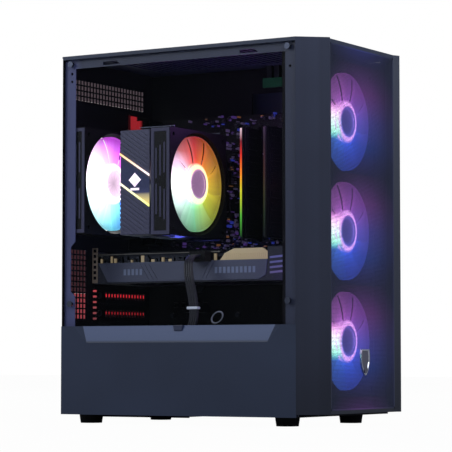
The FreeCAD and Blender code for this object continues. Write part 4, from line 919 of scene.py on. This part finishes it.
def makeCoolerCover():
    low, high = corners("cooler_cover")
    face = high.x - coverSizes["base"]
    plate = addBlock("coolerPlate", (face, low.y, low.z), (high.x, high.y, high.z))
    roundEdges(plate, 0.0006, 2)
    ribs = []
    windowLow, windowHigh = coverSizes["windowRear"]
    count = int((high.z - low.z + coverSizes["fall"]) / coverSizes["pitch"]) + 1
    for index in range(count):
        start = low.z + index * coverSizes["pitch"]
        if windowLow - coverSizes["rib"] < start < windowHigh:
            continue
        rib = addBlock("coolerRib", (low.x, low.y, start), (face, high.y, start + coverSizes["rib"]))
        shearDown(rib, low.y, high.y, coverSizes["fall"])
        ribs.append(rib)
    ribbed = joinAll("coolerRibs", ribs)
    trimFlat(ribbed, high.z - 0.0005, True)
    trimFlat(ribbed, low.z + 0.0005, False)
    body = joinAll("coolerCap", [plate, ribbed])
    finish = satinCoat("coolerCapCoat", (66, 66, 92))
    dress(body, finish, "chassis", "cooler_cap", "cooler_cover")

    pane = addBlock("coolerWindow", (face - 0.0004, low.y + 0.0004, windowLow),
                    (face, high.y - 0.0004, windowHigh - 0.0006))
    shearDown(pane, low.y, high.y, coverSizes["fall"])
    material, tree, shader = newMaterial("windowPane", srgb(38, 42, 66), 0.12)
    place, axes = coordsOn(tree)
    tint = rampOn(tree, spanOn(tree, axes["Z"], *coverSizes["paneChange"]), tinted(coverSizes["paneTones"]))
    feed(shader, tint, "Base Color")
    light(shader, tint, 0.7)
    dress(pane, material, "chassis", "cooler_cap")

    # a plain lit mark: a diamond with a bar under it
    marks = []
    middleY = (low.y + high.y) / 2
    for width, tall, level in coverSizes["marks"]:
        mark = addBlock("coolerMark", (face - 0.0009, middleY - width / 2, level - tall / 2),
                        (face - 0.0004, middleY + width / 2, level + tall / 2))
        if tall > 0.004:
            turn = Matrix.Translation((0, middleY, level)) @ Matrix.Rotation(math.pi / 4, 4, "X")
            mark.data.transform(turn @ Matrix.Translation((0, -middleY, -level)))
        roundEdges(mark, 0.0003, 1)
        marks.append(mark)
    glow, tree, shader = newMaterial("markGlow", (0.3, 0.3, 0.3), 0.4)
    soft = noiseOn(tree, 90, 2.0)
    tint = rampOn(tree, soft, [(0.3, srgb(225, 190, 240)), (0.7, srgb(255, 250, 255))])
    light(shader, tint, 1.3)
    dressAll("coolerEmblem", marks, glow, "cooler_light")
    cover("cooler_light_strips", heightGlow("stripGlow", 0.238, 0.302, coverSizes["stripTones"], 1.5))


makeCoolerCover()
print("cooler cover ready")


# fan frame sides, with a raised rim and slim ribs

frameSide = {"rim": 0.0035, "proud": 0.0008, "ribs": 3, "inset": 0.004, "ribSpot": 0.026, "ribStep": 0.003,
             "ribHalf": 0.017, "bow": 0.0022, "fanHalf": 0.06, "sideHalf": 0.059, "rearY": (0.1365, 0.1605)}


def makeFrameSide(name, faceX, low, high, finish):
    rim = addBlock(name, (faceX - frameSide["proud"], low[0], low[1]), (faceX, high[0], high[1]))
    inner = insetFaces(rim, lambda spot, normal: normal.x < -0.9, (frameSide["rim"], 0), (0.0005, -0.0006))
    dress(rim, finish, "chassis", "fan_frame_plastic")
    paintFaces(rim, finishes["darkPlastic"], inner)
    ribs = []
    spanY = high[0] - low[0] - 2 * frameSide["inset"]
    centre = (low[1] + high[1]) / 2
    for index in range(frameSide["ribs"]):
        middle = low[0] + frameSide["inset"] + (index + 0.5) * spanY / frameSide["ribs"]
        for sign in (1, -1):
            start = centre + sign * (frameSide["ribSpot"] - frameSide["ribStep"] * index)
            reach = frameSide["ribHalf"]
            rib = addBlock("frameRib", (faceX - frameSide["proud"], middle - 0.0011, start - reach),
                           (faceX - 0.0001, middle + 0.0011, start + reach))
            for vertex in rib.data.vertices:
                vertex.co.y += sign * frameSide["bow"] * math.cos((vertex.co.z - start) * 90)
            ribs.append(roundEdges(rib, 0.0004, 1))
    dressAll(name + "Ribs", ribs, finish, "fan_frame_plastic")


def makeFrameSides():
    finish = satinCoat("frameSidePlastic", (56, 55, 82), 0.45, 0.35)
    low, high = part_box("cooler_fan_frame")
    makeFrameSide("coolerFanSide", low[0], (low[1] + 0.0005, low[2] + 0.001),
                  (high[1] - 0.0005, high[2] - 0.001), finish)
    middle = hubAxis["rear_fan"]
    startY, endY = frameSide["rearY"]
    half = frameSide["sideHalf"]
    makeFrameSide("rearFanSide", middle[0] - frameSide["fanHalf"], (startY, middle[2] - half),
                  (endY, middle[2] + half), finish)


makeFrameSides()
print("fan frame sides ready")


# badge and catch

badgeSizes = {"cuts": 5, "waist": 1.9, "foot": 0.02, "shoulder": 0.8, "pinch": 0.12, "width": 0.9}


def makeBadge():
    size = badgeSizes
    low, high = corners("front_badge")
    shield = addBlock("plainShield", low, high)
    editAll(shield)
    bpy.ops.mesh.subdivide(number_cuts=size["cuts"])
    endEdit()
    centre = (low.x + high.x) / 2
    for vertex in shield.data.vertices:
        share = (vertex.co.z - low.z) / (high.z - low.z)
        narrow = math.sqrt(max(0.0, min(1.0, share * size["waist"] + size["foot"])))
        narrow *= 1 - size["pinch"] * max(0, share - size["shoulder"]) * 5
        vertex.co.x = centre + (vertex.co.x - centre) * narrow * size["width"]
    inner = insetFaces(shield, lambda spot, normal: normal.y < -0.9, (0.0016, 0), (0.0005, -0.0008))
    silver = brushedMetal("badgeSilver", srgb(205, 205, 215), 0.25, (1, 1, 8), 400)
    dress(shield, silver, "front_panel", "badge_metal", "front_badge")
    paintFaces(shield, satinCoat("badgeInlay", (84, 82, 98), 0.35), inner)
    print("badge width", round(high.x - low.x, 4))


makeBadge()


def makeCatch():
    low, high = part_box("lower_side_cover")
    top = high[2]
    tab = addBlock("glassCatch", (low[0] + 0.0012, 0.0017, top - 0.0058),
                   (low[0] + 0.0058, 0.0146, top + 0.0002))
    editSelect(tab, lambda spot, normal: normal.z < -0.9)
    bpy.ops.transform.resize(value=(1, 0.75, 1))
    endEdit()
    roundEdges(tab, 0.0006, 2)
    dress(tab, finishes["frameSteel"], "chassis", "filter_plastic")


makeCatch()
print("small trim ready")


# graphics card trim

cardSizes = {
    "proud": 0.0008, "barWidth": 0.0034, "barGap": 0.002, "barTall": 0.0068, "wire": 0.00125,
    "base": 0.0015, "top": 0.0235, "pitch": 0.0062,
    # start, lean and width of each facet; start and number of the plain bars
    "facets": ((0.082, 0.012, 0.0016), (0.076, 0.012, 0.0012), (0.07, 0.012, 0.0009),
               (0.012, -0.01, 0.0014), (0.0065, -0.01, 0.0009), (0.132, 0.008, 0.0012)),
    "bars": ((-0.058, 10), (0.09, 5)),
    "endFins": 20, "slots": 4, "parts": 34, "holes": 6, "paleShare": 0.4,
    "tall": (0.003, 0.005, 0.0075), "wide": (0.0016, 0.0026, 0.0042),
}
cardGlows = {
    "slots": [(0.0, (70, 45, 110)), (0.5, (40, 42, 120)), (1.0, (60, 60, 150))],
    "notches": [(0.0, (110, 35, 40)), (0.4, (170, 70, 75)), (1.0, (225, 50, 60))],
}


def addPlate(name, x, points):
    # a flat plate between two X values with an outline of (Y, Z) corners
    clearSelection()
    count = len(points)
    mesh = bpy.data.meshes.new(name)
    corners = [(x[0], y, z) for y, z in points] + [(x[1], y, z) for y, z in points]
    sides = [tuple(range(count)), tuple(reversed(range(count, 2 * count)))]
    sides += [(i, i + count, (i + 1) % count + count, (i + 1) % count) for i in range(count)]
    mesh.from_pydata(corners, [], sides)
    plate = bpy.data.objects.new(name, mesh)
    bpy.context.collection.objects.link(plate)
    editAll(plate)
    bpy.ops.mesh.normals_make_consistent(inside=False)
    endEdit()
    return plate


def makeCardTrim():
    size = cardSizes
    low, high = corners("card_shroud")
    face = (low.x - size["proud"], low.x + 0.0002)
    base = low.z + size["base"]
    top = low.z + size["top"]
    strip = addPlate("cardStrip", face, [(0.15, top), (0.137, base), (-0.062, base), (-0.071, base + 0.005),
                                         (-0.073, top)])
    facets = [roundEdges(strip, 0.0004, 2)]
    for start, lean, wide in size["facets"]:
        facets.append(addPlate("cardFacet", (face[0] - 0.0005, face[0]),
                               [(start, base + 0.002), (start - wide, base + 0.002),
                                (start - wide + lean, top - 0.002), (start + lean, top - 0.002)]))
    dressAll("cardStripWhole", facets, satinCoat("cardStripCoat", (72, 76, 98)), "card_shell")

    marks = []
    lowZ, highZ = [(base + top) / 2 + side * size["barTall"] / 2 for side in (-1, 1)]
    for start, count in size["bars"]:
        for index in range(count):
            y = start + index * (size["barWidth"] + size["barGap"])
            end = y + size["barWidth"]
            marks.append(addPlate("cardMark", (face[0] - 0.0003, face[0]),
                                  [(y, lowZ), (end, lowZ), (end, highZ), (y, highZ)]))
    dressAll("cardMarks", marks, mouldedPlastic("markPaint", srgb(112, 122, 150), 0.5), "card_shell")

    # pale finned end over the front half
    fins = [addPlate("cardEnd", (low.x + 0.0005, low.x + 0.003),
                     [(-0.018, high.z - 0.006), (-0.03, high.z - 0.001), (-0.066, high.z - 0.001),
                      (-0.078, high.z - 0.009), (-0.078, top), (-0.012, top)])]
    for index in range(size["endFins"]):
        y = -0.07 + index * 0.0026
        fins.append(addBlock("cardEndFin", (low.x + 0.0001, y, top + 0.001),
                             (low.x + 0.001, y + 0.0011, high.z - 0.0065)))
    gold = satinCoat("paleGold", (176, 160, 128), 0.35, 0.5)
    # painted light: a faint glow stands in for the light the pale fins and parts catch
    light(shaderOf(gold), srgb(120, 105, 80), 0.55)
    dressAll("cardEndFins", fins, gold, "card_fins")

    # lit slots of the end cap
    slots = []
    for index in range(size["slots"]):
        z = base + 0.006 + index * 0.0055
        slots.append(addPlate("capSlot", (low.x - 0.0006, low.x),
                              [(-0.076, z), (-0.076, z + 0.0022), (-0.093, z + 0.0035),
                               (-0.093, z + 0.0013)]))
    violet = heightGlow("capGlow", base, high.z, cardGlows["slots"], 0.8)
    dressAll("cardCapSlots", slots, violet, "card_shell")

    # small parts along the edge of the card's board
    random.seed(7)
    pale, dark = [], []
    for index in range(size["parts"]):
        y = 0.148 - index * 0.0046
        tall = random.choice(size["tall"])
        wide = random.choice(size["wide"])
        part = addBlock("cardPart", (low.x + 0.001, y - wide, top + 0.0002),
                        (low.x + 0.0035, y, top + tall))
        (pale if random.random() < size["paleShare"] else dark).append(part)
    dressAll("cardPaleParts", pale, gold, "card_fins")
    dressAll("cardDarkParts", dark, finishes["darkFins"], "card_fins")
    edge = addBlock("cardEdgeLine", (low.x - 0.0004, -0.012, high.z - 0.0044),
                    (low.x, 0.15, high.z - 0.0036))
    dress(edge, satinCoat("edgeTone", (120, 116, 112), 0.5, 0.3), "chassis", "card_laminate")

    # bracket tab with its row of holes, and the notched edge of the lower slots
    tab = addBlock("bracketTab", (low.x - 0.0005, 0.1512, low.z + 0.001),
                   (low.x + 0.0002, 0.1585, high.z + 0.004))
    dress(tab, satinCoat("tabCream", (128, 112, 100), 0.45), "chassis", "screw_steel")
    holes, notches = [], []
    for index in range(size["holes"]):
        z = low.z + 0.005 + index * size["pitch"]
        holes.append(addBlock("tabHole", (low.x - 0.0008, 0.153, z), (low.x - 0.0004, 0.1566, z + 0.0036)))
    for index in range(size["holes"]):
        z = low.z - 0.0405 + index * 0.0063
        notches.append(addBlock("slotNotch", (low.x - 0.0004, 0.153, z),
                                (low.x + 0.0004, 0.1575, z + 0.0022)))
    dressAll("tabHoles", holes, finishes["innerSteel"], "inner_steel")
    red = heightGlow("notchGlow", 0.11, 0.16, cardGlows["notches"], 0.7)
    dressAll("slotNotches", notches, red, "inner_steel")


makeCardTrim()
print("card trim ready")


# sleeved cables

cardRoute = [(-0.064, 0.009, 0.185), (-0.08, 0.009, 0.185), (-0.088, 0.006, 0.166), (-0.087, -0.001, 0.136),
             (-0.088, -0.003, 0.11), (-0.09, 0.014, 0.086), (-0.09, 0.044, 0.068), (-0.075, 0.044, 0.068)]


def addWire(name, points, radius):
    curve = bpy.data.curves.new(name, "CURVE")
    curve.dimensions = "3D"
    curve.bevel_depth = radius
    curve.bevel_resolution = 2
    line = curve.splines.new("NURBS")
    line.points.add(len(points) - 1)
    for point, spot in zip(line.points, points):
        point.co = (*spot, 1)
    line.order_u = 3
    line.use_endpoint_u = True
    line.resolution_u = 5
    wire = bpy.data.objects.new(name, curve)
    bpy.context.collection.objects.link(wire)
    activate(wire)
    bpy.ops.object.convert(target="MESH")
    return bpy.context.object


def makeCables():
    wires = []
    for row in (-1, 1):
        for column in (-1.5, -0.5, 0.5, 1.5):
            shift = Vector((row, column * 2.05, row * 0.6)) * cardSizes["wire"]
            route = [Vector(spot) + shift for spot in cardRoute]
            wires.append(addWire("cardWire", route, cardSizes["wire"]))
    bundle = smooth(joinAll("cardCable", wires), 60)
    sleeve = mouldedPlastic("cardSleeve", srgb(26, 26, 38), 0.4, 1500, 0.1, 0.5)
    dress(bundle, sleeve, "chassis", "cable_sleeve", "card_power_cable")
    # painted highlight: a pale band round the bundle stands for the light caught where the sleeve bends
    band = addBlock("cardComb", (-0.0915, -0.0085, 0.1255), (-0.0845, 0.0055, 0.1285))
    roundEdges(band, 0.0009, 2)
    dress(band, mouldedPlastic("combPlastic", srgb(205, 210, 225), 0.4), "chassis", "cable_sleeve")
    clearSelection()
    bpy.ops.mesh.primitive_torus_add(major_radius=0.0052, minor_radius=0.0007, rotation=(0, math.pi / 2, 0),
                                     major_segments=40, minor_segments=10)
    loop = bpy.context.object
    loop.name = "spareLoop"
    applyPlace(loop)
    loop.data.transform(Matrix.Diagonal((1, 1, 1.5, 1)))
    loop.data.transform(Matrix.Translation((-0.085, -0.03, 0.1165)) @ Matrix.Rotation(0.95, 4, "X"))
    dress(loop, mouldedPlastic("loopPlastic", srgb(110, 114, 128), 0.4), "chassis", "cable_sleeve")


makeCables()
print("cables ready")


# small parts of the main board

clutterZones = [
    # share of the parts, Y range, Z range
    (0.3, (0.027, 0.05), (0.2, 0.338)),
    (0.08, (-0.022, 0.0), (0.2, 0.34)),
    (0.16, (-0.082, -0.026), (0.2, 0.345)),
    (0.16, (-0.08, 0.1), (0.342, 0.355)),
    (0.3, (-0.06, 0.12), (0.2, 0.22)),
]
# painted light: each tone also glows faintly, standing in for the coloured light and glints the parts catch
clutterTones = [
    # name, share, base colour, glow colour, glow strength, slot
    ("boardDark", 0.42, (30, 26, 38), (20, 14, 30), 0.3, "board_part_plastic"),
    ("boardGrey", 0.3, (120, 116, 136), (70, 62, 92), 0.3, "heatsink_metal"),
    ("boardViolet", 0.16, (50, 40, 80), (84, 56, 132), 0.4, "board_part_plastic"),
    ("boardBlue", 0.06, (30, 40, 100), (45, 55, 160), 0.5, "board_part_plastic"),
    ("boardGold", 0.06, (140, 110, 60), (150, 95, 50), 0.3, "board_part_plastic"),
]


clutterSizes = {"count": 420, "wide": (0.0007, 0.0026), "tall": (0.0007, 0.0034), "rise": (0.001, 0.009),
                "roundShare": 0.3}
# Y, Z and radius of each lamp
boardLamps = [(-0.062, 0.262, 0.003), (-0.071, 0.262, 0.003), (-0.05, 0.272, 0.002), (-0.049, 0.205, 0.002),
              (-0.066, 0.3, 0.0022), (-0.074, 0.212, 0.002)]
lampTones = [(0.0, (60, 220, 190)), (0.3, (120, 90, 200)), (0.62, (250, 130, 90)), (1.0, (200, 120, 220))]


def makeClutter():
    random.seed(21)
    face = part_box("motherboard")[0][0]
    groups = {tone[0]: [] for tone in clutterTones}
    names = [tone[0] for tone in clutterTones]
    weights = [tone[1] for tone in clutterTones]
    for share, (lowY, highY), (lowZ, highZ) in clutterZones:
        for index in range(int(clutterSizes["count"] * share)):
            y, z = random.uniform(lowY, highY), random.uniform(lowZ, highZ)
            wide, tall, rise = [random.uniform(*clutterSizes[key]) for key in ("wide", "tall", "rise")]
            name = random.choices(names, weights)[0]
            if random.random() < clutterSizes["roundShare"]:
                part = addRound("boardCan", (face - rise / 2, y, z), tall / 2, rise, "X", 14)
            else:
                part = addBlock("boardBit", (face - rise, y - wide / 2, z - tall / 2),
                                (face, y + wide / 2, z + tall / 2))
            groups[name].append(part)
    for name, share, base, glow, strength, slotName in clutterTones:
        tone = satinCoat(name, base)
        # painted light: a faint glow for the light and glints the parts catch
        light(shaderOf(tone), srgb(*glow), strength)
        dressAll(name + "Parts", groups[name], tone, slotName)
    dots = [addRound("boardLamp", (face - 0.006, y, z), size, 0.012, "X", 16) for y, z, size in boardLamps]
    dressAll("boardLamps", dots, heightGlow("lampGlow", 0.2, 0.3, lampTones, 0.9), "board_part_plastic")


portGlow = {"inner": (0.1613, 0.1611), "sockets": (0.1615, 0.1617), "strength": 0.8,
            "lit": (("Z", 0.325, 0.345), ("X", 0.044, 0.043), ("Y", 0.151, 0.155))}


def litPorts():
    # the inner side of the port plate is dark and glows red near its top; the sockets are dark
    material, tree, shader, axes, tone = readyToVary(portMetal("portGlow"))
    inner = spanOn(tree, axes["Y"], *portGlow["inner"])
    spans = [spanOn(tree, axes[axis], start, end) for axis, start, end in portGlow["lit"]]
    level = times(tree, inner, *spans)
    tone = blend(tree, "MIX", inner, tone, srgb(20, 18, 24))
    tone = blend(tree, "MIX", spanOn(tree, axes["Y"], *portGlow["sockets"]), tone, srgb(24, 26, 32))
    feed(shader, tone, "Base Color")
    light(shader, filtered(tree, level, srgb(165, 36, 44)), portGlow["strength"])
    cover("rear_ports", material)


portSeal = {"left": 0.0265, "right": 0.0728, "low": 0.1992, "high": 0.3602, "lip": 0.0022,
            "near": 0.1594, "far": 0.16}


def makePortSeal():
    # a folded lip that closes the slit around the port plate
    left, right, low, high, lip, near, far = portSeal.values()
    strips = []
    for name, x, z in (("Left", (left, left + lip), (low, high)),
                       ("Right", (right - 2 * lip, right), (low, high)),
                       ("Low", (left, right), (low, low + lip)),
                       ("High", (left, right), (high - lip, high))):
        strips.append(addBlock("seal" + name, (x[0], near, z[0]), (x[1], far, z[1])))
    dressAll("portSeal", strips, finishes["innerSteel"], "port_metal")


makeClutter()
makePortSeal()
litPorts()
print("board parts ready")
